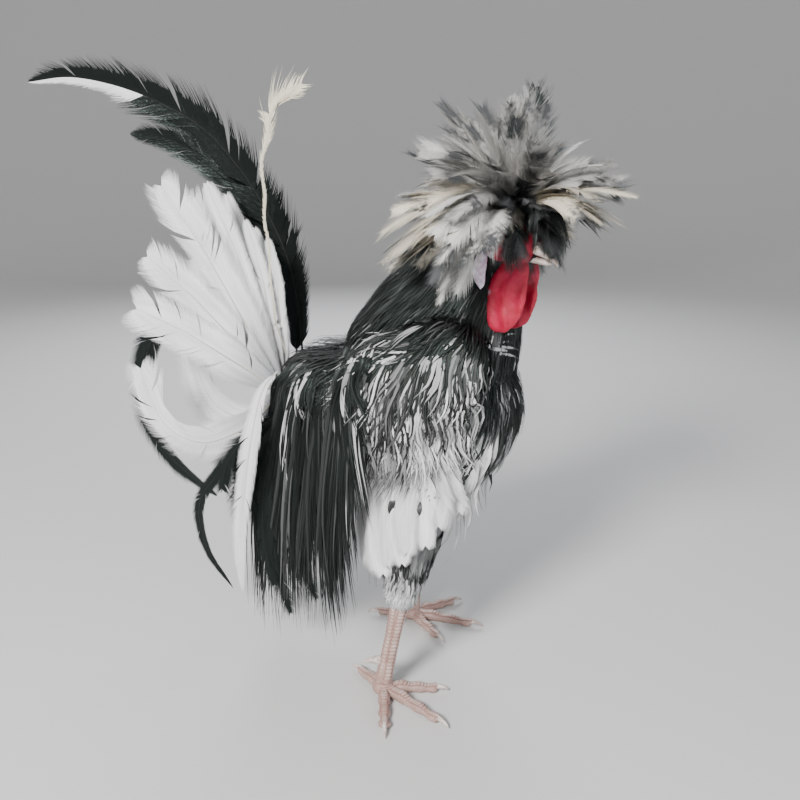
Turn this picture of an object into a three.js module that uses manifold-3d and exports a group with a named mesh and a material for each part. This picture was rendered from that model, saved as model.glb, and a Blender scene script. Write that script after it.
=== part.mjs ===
// A life-size standing Polish crested rooster: millimetres, +X forward, +Y to its left, +Z up.
// It stands on the floor, z = 0. Every piece is a closed solid in its own named mesh.
import * as THREE from "three";
import { mergeVertices } from "three/addons/utils/BufferGeometryUtils.js";
import Module from "manifold-3d";

const wasm = await Module();
wasm.setup();

// Driving sizes of the bird.
const GAP = 0.3; // clearance between touching pieces
const FEATHER_THICK = 1.5; // a vane at its shaft
const TORSO_HALF_WIDTH = 65;
const HEAD_CENTRE = [100, -30, 398];
const HEAD_YAW = -20; // degrees, turned to the bird's right
const HEAD_PITCH = 8; // degrees, bill down
const SKULL_HALF_WIDTH = 17;
const CREST_ROOT = [-5, 0, 17]; // in the head's own axes
const CREST_KNOB_RADIUS = 17;
const CREST_REACH = 98; // from the crest's root to its tips
const WATTLE_DROP = 64;
const BEAK_LENGTH = 26;
const EYE_RADIUS = 4.6;
const SHANK_RADIUS = 6.6;
const TOE_RADIUS = 4.8;
const TAIL_ROOT = [-112, 0, 274];

const sides = { right: -1, left: 1 };
const v3 = (p) => new THREE.Vector3(...p);
const lerp = (a, b, t) => a + (b - a) * t;

// Solids from rings of points.

// Joins rings of points, with a pole at each end, into a closed mesh whose faces are split alike
// on both faces.
function ringBody(start, rings, end) {
  const n = rings[0].length;
  const points = [start, ...rings.flat(), end];
  const last = points.length - 1;
  const at = (row, side) => 1 + row * n + (side % n);
  const index = [];
  for (let s = 0; s < n; s++) {
    index.push(0, at(0, s + 1), at(0, s));
    index.push(last, at(rings.length - 1, s), at(rings.length - 1, s + 1));
  }
  for (let row = 0; row + 1 < rings.length; row++) {
    for (let s = 0; s < n; s++) {
      const [a, b] = [at(row, s), at(row, s + 1)];
      const [d, c] = [at(row + 1, s), at(row + 1, s + 1)];
      if (s % 2) index.push(a, b, d, b, c, d);
      else index.push(a, b, c, a, c, d);
    }
  }
  const geometry = new THREE.BufferGeometry();
  geometry.setAttribute(
    "position",
    new THREE.Float32BufferAttribute(points.flatMap((p) => p.toArray()), 3),
  );
  geometry.setIndex(index);
  return geometry;
}

// A closed geometry as a solid, whichever way its faces were wound.
function solidOf(geometry) {
  const bare = geometry.clone();
  for (const name of Object.keys(bare.attributes)) if (name !== "position") bare.deleteAttribute(name);
  const merged = mergeVertices(bare, 1e-4);
  const build = (triVerts) =>
    new wasm.Manifold(
      new wasm.Mesh({ numProp: 3, vertProperties: merged.attributes.position.array, triVerts }),
    );
  const faces = new Uint32Array(merged.index.array);
  const made = build(faces);
  if (made.volume() > 0) return made;
  for (let i = 0; i < faces.length; i += 3) [faces[i + 1], faces[i + 2]] = [faces[i + 2], faces[i + 1]];
  return build(faces);
}

// Its largest closed surface: loose scraps are dropped and sealed hollows are filled.
function largest(solid) {
  const found = solid.decompose().sort((a, b) => b.volume() - a.volume());
  return found[0];
}

const fuse = (pieces) => wasm.Manifold.union(pieces);

// An egg-shaped body along a curve. Each station is [x, y, z, across, above, below], with the ring
// square to the curve.
function loft(stations, { around = 16, grow = 0, across = [0, 1, 0] } = {}) {
  const centres = stations.map((s) => v3(s.slice(0, 3)));
  const curve = new THREE.CatmullRomCurve3(centres);
  const rings = [];
  for (let i = 1; i + 1 < stations.length; i++) {
    const forward = curve.getTangent(i / (stations.length - 1));
    const side = v3(across).addScaledVector(forward, -v3(across).dot(forward)).normalize();
    const up = forward.clone().cross(side).negate();
    const [half, above, below] = stations[i].slice(3).map((r) => r + grow);
    rings.push(
      Array.from({ length: around }, (_, k) => {
        const turn = (2 * Math.PI * k) / around;
        const rise = Math.sin(turn);
        return centres[i]
          .clone()
          .addScaledVector(side, half * Math.cos(turn))
          .addScaledVector(up, rise * (rise > 0 ? above : below));
      }),
    );
  }
  const ends = [0, stations.length - 1].map((i) =>
    centres[i].clone().addScaledVector(curve.getTangent(i ? 1 : 0), i ? grow : -grow),
  );
  return ringBody(ends[0], rings, ends[1]);
}

// A feather's width along its length, as a share of its full width.
const outlines = {
  lance: (t) => Math.min(1, 0.35 + 4 * t) * (1 - t ** 2.4),
  round: (t) => Math.min(1, 0.25 + 2.2 * t) * Math.sqrt(Math.max(0, 1 - Math.max(0, (t - 0.8) / 0.2) ** 2)),
  sickle: (t) => Math.min(1, 0.3 + 3 * t) * (1 - t ** 4) ** 0.8,
};

// One feather: a thin four-sided vane along a curve, widest across, thickest at its shaft.
function feather(path, { width, face, shape = "lance", rows = 6, thick = FEATHER_THICK, grow = 0 }) {
  const curve = new THREE.CatmullRomCurve3(path.map(v3));
  const rings = [];
  for (let i = 0; i < rows; i++) {
    const t = i / (rows - 0.35) + 0.02;
    const along = curve.getTangentAt(t);
    const outward = typeof face === "function" ? face(t) : v3(face);
    const side = outward.clone().cross(along).normalize();
    const lift = along.clone().cross(side);
    const half = (outlines[shape](t) * width) / 2 + grow;
    const rise = (thick / 2) * lerp(1, 0.6, t) + grow;
    const centre = curve.getPointAt(t);
    rings.push([
      centre.clone().addScaledVector(side, half),
      centre.clone().addScaledVector(lift, rise),
      centre.clone().addScaledVector(side, -half),
      centre.clone().addScaledVector(lift, -rise),
    ]);
  }
  return solidOf(ringBody(curve.getPointAt(0), rings, curve.getPointAt(1)));
}

// The head's own axes, x along the bill, placed in the bird's frame.
const headFrame = new THREE.Matrix4()
  .makeTranslation(...HEAD_CENTRE)
  .multiply(
    new THREE.Matrix4().makeRotationFromEuler(
      new THREE.Euler(0, THREE.MathUtils.degToRad(HEAD_PITCH), THREE.MathUtils.degToRad(HEAD_YAW), "ZYX"),
    ),
  );
const onHead = (geometry) => geometry.applyMatrix4(headFrame);
const headPoint = (p) => v3(p).applyMatrix4(headFrame).toArray();

// Torso, neck and head.

const torsoStations = [
  [-112, 0, 272, 0, 0, 0],
  [-104, 0, 271, 15, 15, 17],
  [-85, 0, 266, 31, 28, 34],
  [-60, 0, 256, 46, 42, 52],
  [-30, 0, 250, 58, 62, 72],
  [0, 0, 248, 0.99 * TORSO_HALF_WIDTH, 80, 86],
  [30, 0, 252, TORSO_HALF_WIDTH, 86, 90],
  [54, 0, 259, 0.9 * TORSO_HALF_WIDTH, 78, 78],
  [71, 0, 267, 0.74 * TORSO_HALF_WIDTH, 60, 63],
  [84, 0, 275, 0.5 * TORSO_HALF_WIDTH, 41, 45],
  [92, 0, 281, 16, 20, 22],
  [96, 0, 283, 0, 0, 0],
];
const torso = (grow = 0) => solidOf(loft(torsoStations, { around: 20, grow }));
const torsoGrown = torso(GAP);

const neckStations = [
  [14, 0, 255, 0, 0, 0],
  [20, 0, 275, 58, 66, 64],
  [34, -1, 305, 58, 68, 66],
  [46, -3, 335, 51, 60, 60],
  [58, -8, 362, 41, 47, 47],
  [71, -15, 384, 26, 29, 29],
  [83, -22, 399, 15, 17, 16],
  [91, -26, 406, 0, 0, 0],
];
const neckCore = (grow = 0) => solidOf(loft(neckStations, { around: 16, grow }));

const skullStations = [
  [-25, 0, 2, 0, 0, 0],
  [-20, 0, 3, 11, 11, 11],
  [-10, 0, 2, 16, 17, 17],
  [2, 0, 1, SKULL_HALF_WIDTH, 17, 18],
  [12, 0, -1, 13.5, 14, 15],
  [20, 0, -4, 9, 9, 10],
  [24, 0, -5, 0, 0, 0],
];
const skull = (grow = 0) => solidOf(onHead(loft(skullStations, { around: 14, grow })));

// A ball in the head's axes, squashed to three half sizes.
function headBall(centre, half, { grow = 0, around = 12, rows = 8 } = {}) {
  const ball = new THREE.SphereGeometry(1, around, rows);
  ball.rotateX(Math.PI / 2);
  ball.scale(...half.map((h) => h + grow)).translate(...centre);
  return solidOf(onHead(ball));
}
const crestKnob = (grow = 0) => headBall(CREST_ROOT, [CREST_KNOB_RADIUS, CREST_KNOB_RADIUS, 15], { grow });
const eye = (side, grow = 0) =>
  headBall([3, side * 14.4, 2], [EYE_RADIUS, 3.4, EYE_RADIUS], { grow, around: 10, rows: 6 });

const upperBeakStations = [
  [14, 0, -3, 0, 0, 0],
  [17, 0, -3, 7, 5.5, 3],
  [24, 0, -3.6, 5.6, 4.8, 2.6],
  [31, 0, -5.2, 4, 3.8, 2.2],
  [BEAK_LENGTH + 13, 0, -8, 2.2, 2.4, 1.8],
  [BEAK_LENGTH + 15, 0, -11, 0, 0, 0],
];
const lowerBeakStations = [
  [13, 0, -9.5, 0, 0, 0],
  [16, 0, -9.5, 6, 3, 3],
  [24, 0, -9.4, 4.6, 2.4, 2.8],
  [BEAK_LENGTH + 7, 0, -9.8, 2.6, 1.5, 2],
  [BEAK_LENGTH + 10, 0, -10.3, 0, 0, 0],
];
const upperBeak = (grow = 0) => solidOf(onHead(loft(upperBeakStations, { around: 10, grow })));
const lowerBeak = (grow = 0) => solidOf(onHead(loft(lowerBeakStations, { around: 8, grow })));

// A hanging flap on the head, given by stations down its length: fore-aft half width, then half thickness.
function flap(stations, grow = 0) {
  return solidOf(onHead(loft(stations, { around: 10, grow, across: [1, 0, 0] })));
}
const wattle = (side, grow = 0) =>
  flap(
    [
      [14, side * 5, -8, 0, 0, 0],
      [12, side * 6.5, -13, 9, 3.4, 3.4],
      [9, side * 8, -24, 14, 4, 4],
      [6.5, side * 9, -38, 17.5, 4.4, 4.4],
      [4, side * 9.5, -52, 17, 4, 4],
      [1, side * 9.5, -64, 12.5, 3.4, 3.4],
      [-1, side * 9, -8 - WATTLE_DROP, 0, 0, 0],
    ],
    grow,
  );
const earlobe = (side, grow = 0) =>
  flap(
    [
      [-17, side * 17, 4, 0, 0, 0],
      [-16, side * 19, -1, 5.5, 2.8, 2.8],
      [-14.5, side * 20.5, -12, 6.6, 3.2, 3.2],
      [-13, side * 21, -24, 5.5, 3, 3],
      [-11, side * 20.5, -33, 3.6, 2.4, 2.4],
      [-9.5, side * 20, -39, 0, 0, 0],
    ],
    grow,
  );
const combHorn = (side, grow = 0) =>
  solidOf(
    onHead(
      loft(
        [
          [14, side * 2.5, 5, 0, 0, 0],
          [15, side * 3, 8, 2.6, 3, 3],
          [15, side * 4.5, 14, 2.2, 2.4, 2.4],
          [13, side * 6.5, 21, 0, 0, 0],
        ],
        { around: 8, grow },
      ),
    ),
  );

// Wings, legs and feet, given for the left side and mirrored by the side's sign.
const mirrored = (stations, side) => stations.map(([x, y, z, ...r]) => [x, side * y, z, ...r]);

const wingStations = [
  [88, 44, 300, 0, 0, 0],
  [80, 52, 301, 8, 20, 24],
  [62, 62, 296, 11, 34, 42],
  [34, 67, 284, 12, 40, 48],
  [6, 68, 270, 11, 36, 44],
  [-18, 65, 258, 8, 24, 30],
  [-34, 59, 252, 0, 0, 0],
];
const wingCore = (side, grow = 0) => solidOf(loft(mirrored(wingStations, side), { around: 12, grow }));

// Each foot: where its sole's middle is on the floor, the way its middle toe points, and its hock and knee.
const legs = {
  right: { foot: [6, -66], heading: -24, hock: [20, -63, 90], knee: [30, -52, 172] },
  left: { foot: [-6, 58], heading: 2, hock: [4, 58, 94], knee: [22, 52, 174] },
};
const thigh = ({ hock, knee }, grow = 0) => {
  const at = (t, ...radii) => [...knee.map((k, i) => lerp(k, hock[i], t)), ...radii];
  return solidOf(
    loft(
      [
        at(-0.28, 0, 0, 0),
        at(-0.12, 20, 26, 28),
        at(0.15, 23, 27, 28),
        at(0.42, 20, 22, 22),
        at(0.66, 16, 18, 18),
        at(0.86, 13, 14.5, 14.5),
        at(1, 10, 11, 11),
        at(1.08, 0, 0, 0),
      ],
      { around: 14, grow },
    ),
  );
};
const ANKLE_HEIGHT = 13;
const shank = ({ foot, hock }, grow = 0) => {
  const ankle = [foot[0], foot[1], ANKLE_HEIGHT];
  const at = (t, ...radii) => [...hock.map((h, i) => lerp(h, ankle[i], t)), ...radii];
  const rings = 10;
  const stations = [at(-0.12, 0, 0, 0)];
  for (let i = 0; i <= rings; i++) {
    const t = i / rings;
    const scute = i % 2 ? 0.45 : -0.1;
    const r = SHANK_RADIUS * lerp(1.12, 1, Math.min(1, 3 * t));
    stations.push(at(lerp(0, 0.97, t), r - 0.4, r + scute, r));
  }
  stations.push(at(1.02, 0, 0, 0));
  return solidOf(loft(stations, { around: 8, grow }));
};

// A toe lies along the floor on a flat sole, from the ball of the foot to its claw.
const TOES = [
  { name: "inner", turn: 42, length: 46 },
  { name: "middle", turn: 0, length: 62 },
  { name: "outer", turn: -46, length: 50 },
  { name: "hind", turn: 172, length: 34 },
];
const CLAW_LENGTH = 13;
const toeAim = (leg, side, toe) => THREE.MathUtils.degToRad(leg.heading - side * toe.turn);

function flatRod(origin, aim, stations, { grow = 0, around = 8 } = {}) {
  const [c, s] = [Math.cos(aim), Math.sin(aim)];
  const placed = stations.map(([d, z, ...r]) => [origin[0] + c * d, origin[1] + s * d, z, ...r]);
  return solidOf(loft(placed, { around, grow, across: [-s, c, 0] }));
}
const toeRod = (leg, side, toe, grow = 0) => {
  const r = TOE_RADIUS;
  const knuckles = 4;
  const stations = [[0, r, 0, 0, 0]];
  for (let i = 0; i <= knuckles; i++) {
    const t = i / knuckles;
    const swell = 1 + (i % 2 ? 0.12 : -0.06);
    const radius = lerp(1.15, 0.72, t) * r;
    stations.push([lerp(4, toe.length, t), r, radius * swell, radius * swell, r + 1]);
  }
  stations.push([toe.length + 2, r, 0, 0, 0]);
  return flatRod(leg.foot, toeAim(leg, side, toe), stations, { grow });
};
const claw = (leg, side, toe) => {
  const L = toe.length;
  const stations = [
    [L - 3, 5, 0, 0, 0],
    [L - 1, 5, 2.2, 2.2, 2.2],
    [L + 0.45 * CLAW_LENGTH, 4.6, 1.9, 2, 2],
    [L + 0.8 * CLAW_LENGTH, 2.9, 1.2, 1.2, 1.2],
    [L + CLAW_LENGTH, 1.2, 0, 0, 0],
  ];
  return flatRod(leg.foot, toeAim(leg, side, toe), stations, { around: 6 });
};
// Everything below the floor is cut away, so that each sole is flat.
const FLOOR_BLOCK = solidOf(new THREE.BoxGeometry(2000, 2000, 100).translate(0, 0, -50));

const footBall = (leg) => {
  const ball = new THREE.SphereGeometry(1, 14, 8);
  ball.rotateX(Math.PI / 2);
  ball.scale(10.5, 10.5, 11).translate(leg.foot[0], leg.foot[1], 5);
  return solidOf(ball);
};
const spur = ({ foot, hock }, side) => {
  const rootX = lerp(foot[0], hock[0], 0.25);
  const at = (back, out, z, r) => [rootX - back, foot[1] - side * out, z, r, r, r];
  const root = [at(2, 0, 33, 0), at(5, 1, 32, 4)];
  const point = [at(12, 3, 29, 3.3), at(19, 5, 25, 2), at(25, 6.5, 21, 0)];
  return solidOf(loft([...root, ...point], { around: 8 }));
};

const both = (make, grow) => Object.values(sides).map((side) => make(side, grow));

// Feathers, each tier laid on the bird's own surface.

// A repeatable draw from 0 to 1.
function drawFrom(seed) {
  let state = seed;
  return () => {
    state = (state * 1664525 + 1013904223) % 4294967296;
    return state / 4294967296;
  };
}

// The outer surface that small tiers lie on, as a mesh that rays can meet.
function skinOf(pieces) {
  const mesh = fuse(pieces).getMesh();
  const geometry = new THREE.BufferGeometry();
  geometry.setAttribute("position", new THREE.Float32BufferAttribute(mesh.vertProperties, 3));
  geometry.setIndex([...mesh.triVerts]);
  const made = new THREE.Mesh(geometry, new THREE.MeshBasicMaterial());
  return (centre, outward) => {
    const far = v3(centre).addScaledVector(outward, 300);
    const ray = new THREE.Raycaster(far, outward.clone().negate(), 0, 300);
    const [hit] = ray.intersectObject(made);
    return hit ? hit.point : null;
  };
}

// Neck hackles: tiers of pointed vanes round the neck, from the head down over the shoulders.
const HACKLE_TIERS = [
  { from: 0.92, to: 0.52, count: 7, width: 18, lift: 6.6 },
  { from: 0.74, to: 0.26, count: 9, width: 22, lift: 4.4 },
  { from: 0.5, to: -0.04, count: 10, width: 28, lift: 2.2 },
];
function neckHackles(skin, grow = 0) {
  const draw = drawFrom(3);
  const axis = new THREE.CatmullRomCurve3(neckStations.slice(1, 7).map((p) => v3(p.slice(0, 3))));
  const base = axis.getPoint(0);
  const lead = axis.getTangent(0);
  const beyond = (t) => base.clone().addScaledVector(lead, t * axis.getLength());
  const axisAt = (t) => (t < 0 ? beyond(t) : axis.getPointAt(t));
  const vanes = [];
  HACKLE_TIERS.forEach(({ from, to, count, width, lift }, tier) => {
    for (let k = 0; k < count; k++) {
      const turn = (2 * Math.PI * (k + 0.5 * (tier % 2))) / count;
      const reach = (0.85 + 0.3 * draw()) * (to - from);
      const raise = lift + (k % 2 ? 0.9 : 0);
      const points = [];
      let outward;
      for (let j = 0; j <= 3; j++) {
        const t = from + (reach * j) / 3;
        const along = t < 0 ? lead : axis.getTangentAt(Math.min(1, Math.max(0, t)));
        const side = new THREE.Vector3(0, 1, 0).addScaledVector(along, -along.y).normalize();
        const back = along.clone().cross(side).negate();
        outward = side.multiplyScalar(Math.cos(turn)).addScaledVector(back, Math.sin(turn));
        const hit = skin(axisAt(t).toArray(), outward);
        const off = j ? raise * (j < 3 ? 1 : 0.75) : -3;
        points.push(hit.addScaledVector(outward, off).toArray());
      }
      vanes.push(feather(points, { width, face: outward.toArray(), rows: 3, grow }));
    }
  });
  return vanes;
}

// Saddle hackles: long pointed vanes that spring from the back and hang down each flank.
const SADDLE_LINE = 266; // the height of the flank where the lowest of them spring
const SADDLE_TIERS = [
  { count: 9, spring: [-94, -18], tip: [-134, -14], low: [24, 92], width: 18, lift: 2.4 },
  { count: 6, spring: [-86, -20], tip: [-118, -14], low: [96, 140], width: 21, lift: 5 },
];
function saddlePad(side, grow = 0) {
  const band = new THREE.BoxGeometry(88, 60, 60).translate(-54, side * 38.5, 294);
  return torso(3.2 + grow).subtract(torsoGrown).intersect(solidOf(band));
}
function saddleHackles(side, skin) {
  const draw = drawFrom(7);
  const vanes = [];
  const upward = new THREE.Vector3(0, side * 0.35, 1).normalize();
  for (const { count, spring, tip, low, width, lift } of SADDLE_TIERS) {
    for (let k = 0; k < count; k++) {
      const share = (k + 0.5) / count;
      const [x0, x1] = [lerp(...spring, share), lerp(...tip, share) + 8 * (draw() - 0.5)];
      const z0 = lerp(SADDLE_LINE, skin([x0, side * 6, 240], upward).z, 0.45);
      const z1 = lerp(...low, share) + 14 * draw();
      const raise = lift + (k % 2 ? 0.9 : 0);
      const points = [];
      let y = 0;
      const steps = 4;
      for (let j = 0; j <= steps; j++) {
        const t = j / steps;
        const [x, z] = [lerp(x0, x1, t ** 0.9), lerp(z0, z1, t ** 1.3)];
        const hit = skin([x, 0, z], new THREE.Vector3(0, side, 0));
        if (hit) y = Math.max(y, Math.abs(hit.y));
        points.push([x, side * (y + (j ? raise : 1.2)), z]);
      }
      vanes.push(feather(points, { width, face: [0.1 * (share - 0.5), side, 0.12], rows: 4 }));
    }
  }
  return vanes;
}

// Folded wing: flight feathers hang from the covert mass, under two tiers of coverts.
const WING_TIERS = [
  {
    count: 8, width: 18, off: -2.4,
    roots: [[64, 60, 262], [-22, 62, 248]], tips: [[74, 66, 190], [-14, 68, 128]],
  },
  {
    count: 6, width: 20, off: 1.6,
    roots: [[70, 62, 286], [-12, 62, 262]], tips: [[72, 70, 226], [-24, 68, 204]],
  },
];
function wingFeathers(side, skin, grow = 0) {
  const draw = drawFrom(5);
  const vanes = [];
  for (const { count, roots, tips, width, off } of WING_TIERS) {
    for (let k = 0; k < count; k++) {
      const share = k / (count - 1);
      const root = roots[0].map((r, i) => lerp(r, roots[1][i], share));
      const tip = tips[0].map((r, i) => lerp(r, tips[1][i], share));
      tip[2] += 5 * (draw() - 0.5);
      const points = [];
      let y = root[1];
      for (let j = 0; j <= 3; j++) {
        const [x, , z] = root.map((r, i) => lerp(r, tip[i], j / 3));
        const hit = skin([x, 0, z], new THREE.Vector3(0, side, 0));
        if (hit) y = lerp(y, Math.abs(hit.y), j ? 0.75 : 1);
        points.push([x, side * (y + (j ? off + (k % 2) * 0.7 : -2.5)), z]);
      }
      vanes.push(feather(points, { width, face: [0.08, side, 0.1], shape: "round", rows: 4, grow }));
    }
  }
  return vanes;
}

// The crest: long pointed vanes that burst from the knob over the whole upper half and droop a little.
const CREST_COUNT = 37;
function crestFeathers(grow = 0) {
  const draw = drawFrom(11);
  const vanes = [];
  const golden = Math.PI * (3 - Math.sqrt(5));
  for (let k = 0; k < CREST_COUNT; k++) {
    const rise = lerp(0.97, -0.3, (k + 0.5) / CREST_COUNT);
    const turn = k * golden + 0.5 * (draw() - 0.5);
    const flat = Math.sqrt(1 - rise * rise);
    const aim = new THREE.Vector3(flat * Math.cos(turn), flat * Math.sin(turn), rise);
    const reach = CREST_REACH * (0.78 + 0.26 * draw()) * (aim.x > 0.4 && rise < 0.2 ? 0.72 : 1);
    const droop = 10 * flat;
    const face = new THREE.Vector3(-rise * Math.cos(turn), -rise * Math.sin(turn), flat)
      .applyAxisAngle(aim, 1.1 * (draw() - 0.5));
    const points = [0.04, 0.34, 0.68, 1].map((t) => {
      const p = v3(CREST_ROOT).addScaledVector(aim, reach * t);
      p.z -= droop * t * t;
      return headPoint(p.toArray());
    });
    const faceWorld = face.clone().transformDirection(headFrame).toArray();
    vanes.push(feather(points, { width: 12 + 7 * draw(), face: faceWorld, rows: 3, grow }));
  }
  return vanes;
}

// Main tail feathers: seven each side, from nearly upright to low, folded like a tent. The lowest curls up.
const RECTRICES = [
  { lean: 3, length: 130, width: 16 },
  { lean: 9, length: 148, width: 17 },
  { lean: 17, length: 186, width: 23 },
  { lean: 28, length: 200, width: 48 },
  { lean: 43, length: 160, width: 42 },
  { lean: 59, length: 140, width: 46 },
];
const LOW_RECTRIX = [[-108, 14, 256], [-134, 30, 226], [-180, 36, 206], [-220, 37, 222], [-240, 36, 272]];
function rectrices(side, grow = 0) {
  const low = LOW_RECTRIX.map(([x, y, z]) => [x + (side > 0 ? 8 : 0), side * y, z]);
  const curled = feather(low, { width: 46, face: [0, side, -0.25], shape: "round", rows: 8, grow });
  const straight = RECTRICES.map(({ lean, length, width }, k) => {
    const a = THREE.MathUtils.degToRad(lean + (side > 0 ? 2.5 : 0));
    const out = side * (3 + 4 * k);
    const along = (d, bow = 0) => [
      TAIL_ROOT[0] + 2 - Math.sin(a) * d - bow * Math.cos(a),
      out * (0.7 + (0.9 * d) / length),
      TAIL_ROOT[2] - 14 + Math.cos(a) * d - bow * Math.sin(a),
    ];
    const long = length * (side > 0 ? 0.95 : 1);
    const points = [along(0), along(0.34 * long, -1), along(0.67 * long, -2), along(long, 3)];
    return feather(points, { width, face: [0, side, 0.12], shape: "round", rows: 6, grow });
  });
  return [...straight, curled];
}
const tailRoot = (grow = 0) =>
  solidOf(
    loft(
      [
        [-88, 0, 262, 0, 0, 0],
        [-94, 0, 266, 20, 18, 24],
        [-106, 0, 273, 26, 22, 30],
        [-120, 0, 281, 20, 18, 24],
        [-132, 0, 289, 0, 0, 0],
      ],
      { around: 12, grow },
    ),
  );
const tailSolid = (grow = 0) => fuse([tailRoot(grow), ...both(rectrices, grow).flat()]);

// Sickles and other long curved tail feathers, one node each, by their paths.
const SICKLES = {
  sickle_great: {
    look: "black", width: 54, rows: 12, face: [0, 1, 0],
    path: [
      [-104, 24, 284], [-110, 33, 320], [-119, 38, 358], [-136, 40, 398], [-168, 40, 448],
      [-209, 38, 488], [-268, 34, 516], [-331, 30, 530], [-384, 28, 527],
    ],
  },
  sickle_second: {
    look: "black", width: 44, rows: 9, face: [0, 1, 0],
    path: [
      [-110, 24, 280], [-118, 42, 322], [-134, 49, 372], [-162, 50, 418], [-200, 48, 452],
      [-243, 45, 474], [-284, 42, 480],
    ],
  },
  sickle_low: {
    look: "black", width: 34, rows: 13, face: [0, 1, 0],
    path: [
      [-118, 16, 266], [-140, 38, 284], [-176, 44, 312], [-224, 44, 322], [-268, 42, 298],
      [-294, 40, 246], [-292, 38, 196], [-262, 36, 150], [-212, 34, 118],
    ],
  },
  sickle_pale: {
    look: "crest", width: 9, rows: 9, face: [0.3, 1, 0],
    path: [
      [-104, -10, 290], [-103, -31, 330], [-105, -32, 383], [-108, -31, 440], [-102, -30, 482],
      [-90, -28, 503], [-74, -26, 514],
    ],
  },
  sickle_white: {
    look: "white", width: 17, rows: 8, face: [0.35, 1, 0],
    path: [
      [-108, -22, 276], [-114, -40, 262], [-122, -47, 225], [-130, -50, 180], [-138, -50, 130],
      [-141, -49, 95], [-141, -48, 64],
    ],
  },
  sickle_left: {
    look: "black", width: 18, rows: 8, face: [-0.35, 1, 0],
    path: [
      [-108, 22, 272], [-116, 40, 256], [-134, 50, 220], [-152, 53, 176], [-164, 53, 130],
      [-166, 52, 92], [-162, 51, 62],
    ],
  },
  sickle_under: {
    look: "black", width: 16, rows: 10, face: [0, 1, 0],
    path: [
      [-112, 2, 254], [-142, 4, 216], [-186, 5, 164], [-216, 6, 122], [-212, 6, 72],
      [-184, 6, 30],
    ],
  },
};
const sickle = ({ path, width, rows, face }, grow = 0) =>
  feather(path, { width, face, shape: "sickle", rows, grow });

// Tail coverts: broad soft vanes that fan down behind the saddle.
const COVERTS = [-34, -25, -16, -8, 8, 16, 25, 34];
const covertPad = (grow = 0) =>
  solidOf(
    loft(
      [
        [-82, 0, 244, 0, 0, 0],
        [-90, 0, 238, 24, 12, 12],
        [-104, 0, 236, 30, 12, 12],
        [-118, 0, 236, 22, 9, 9],
        [-126, 0, 236, 0, 0, 0],
      ],
      { around: 12, grow },
    ),
  );
function tailCoverts(grow = 0) {
  return COVERTS.map((out, k) => {
    const span = 118 + 22 * (k % 3);
    const lean = THREE.MathUtils.degToRad(10 + 12 * (k % 4));
    const at = (t, bow) => [
      -106 - span * t * Math.sin(lean) - bow,
      out * (0.8 + 0.35 * t),
      238 - span * t * Math.cos(lean),
    ];
    const points = [at(0, 0), at(0.35, 8), at(0.7, 8), at(1, 0)];
    return feather(points, { width: 26, face: [0.5, Math.sign(out), 0.2], shape: "round", rows: 5, grow });
  });
}

// The finished pieces, each cleared from those it meets.
const nodes = [];
const looks = {
  black: { color: 0x14161a, roughness: 0.45 },
  white: { color: 0xd9dcdc, roughness: 0.7 },
  mottled: { color: 0x77797a, roughness: 0.7 },
  crest: { color: 0x8f8c83, roughness: 0.8 },
  flesh: { color: 0xb2122a, roughness: 0.5 },
  lobe: { color: 0xd8cfe2, roughness: 0.6 },
  horn: { color: 0xa89a86, roughness: 0.4 },
  eye: { color: 0x241008, roughness: 0.1 },
  leg: { color: 0xb39a94, roughness: 0.6 },
};
function place(name, look, solid) {
  const mesh = largest(solid).getMesh();
  const geometry = new THREE.BufferGeometry();
  geometry.setAttribute("position", new THREE.Float32BufferAttribute(mesh.vertProperties, 3));
  geometry.setIndex([...mesh.triVerts]);
  geometry.computeVertexNormals();
  const made = new THREE.Mesh(geometry, new THREE.MeshStandardMaterial({ ...looks[look], metalness: 0 }));
  made.name = name;
  nodes.push(made);
}

const skullGrown = skull(GAP);
const knobGrown = crestKnob(GAP);
const neckGrown = neckCore(GAP);
const wingsGrown = fuse(both(wingCore, GAP));
const tailGrown = tailSolid(GAP);
const bulk = [torso(), neckCore(), ...both(wingCore), ...Object.values(legs).map((leg) => thigh(leg))];
const skin = skinOf(bulk);

place("torso", "mottled", torso());
place("head", "flesh", skull());
const nearHead = fuse([skullGrown, neckGrown]);
const combsGrown = fuse(both(combHorn, GAP));
const crest = fuse([crestKnob(), ...crestFeathers()]).subtract(
  fuse([skullGrown, neckGrown, combsGrown, ...both(eye, GAP), ...both(earlobe, GAP)]),
);
place("crest", "crest", crest);
place("beak_upper", "horn", upperBeak().subtract(fuse([skullGrown, lowerBeak(GAP), ...both(wattle, GAP)])));
place("beak_lower", "horn", lowerBeak().subtract(fuse([skullGrown, ...both(wattle, GAP)])));
for (const [name, side] of Object.entries(sides)) {
  place(`eye_${name}`, "eye", eye(side).subtract(skullGrown));
  place(`wattle_${name}`, "flesh", wattle(side).subtract(nearHead));
  place(`earlobe_${name}`, "lobe", earlobe(side).subtract(nearHead));
  place(`comb_${name}`, "flesh", combHorn(side).subtract(fuse([skullGrown, knobGrown])));
}

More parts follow.
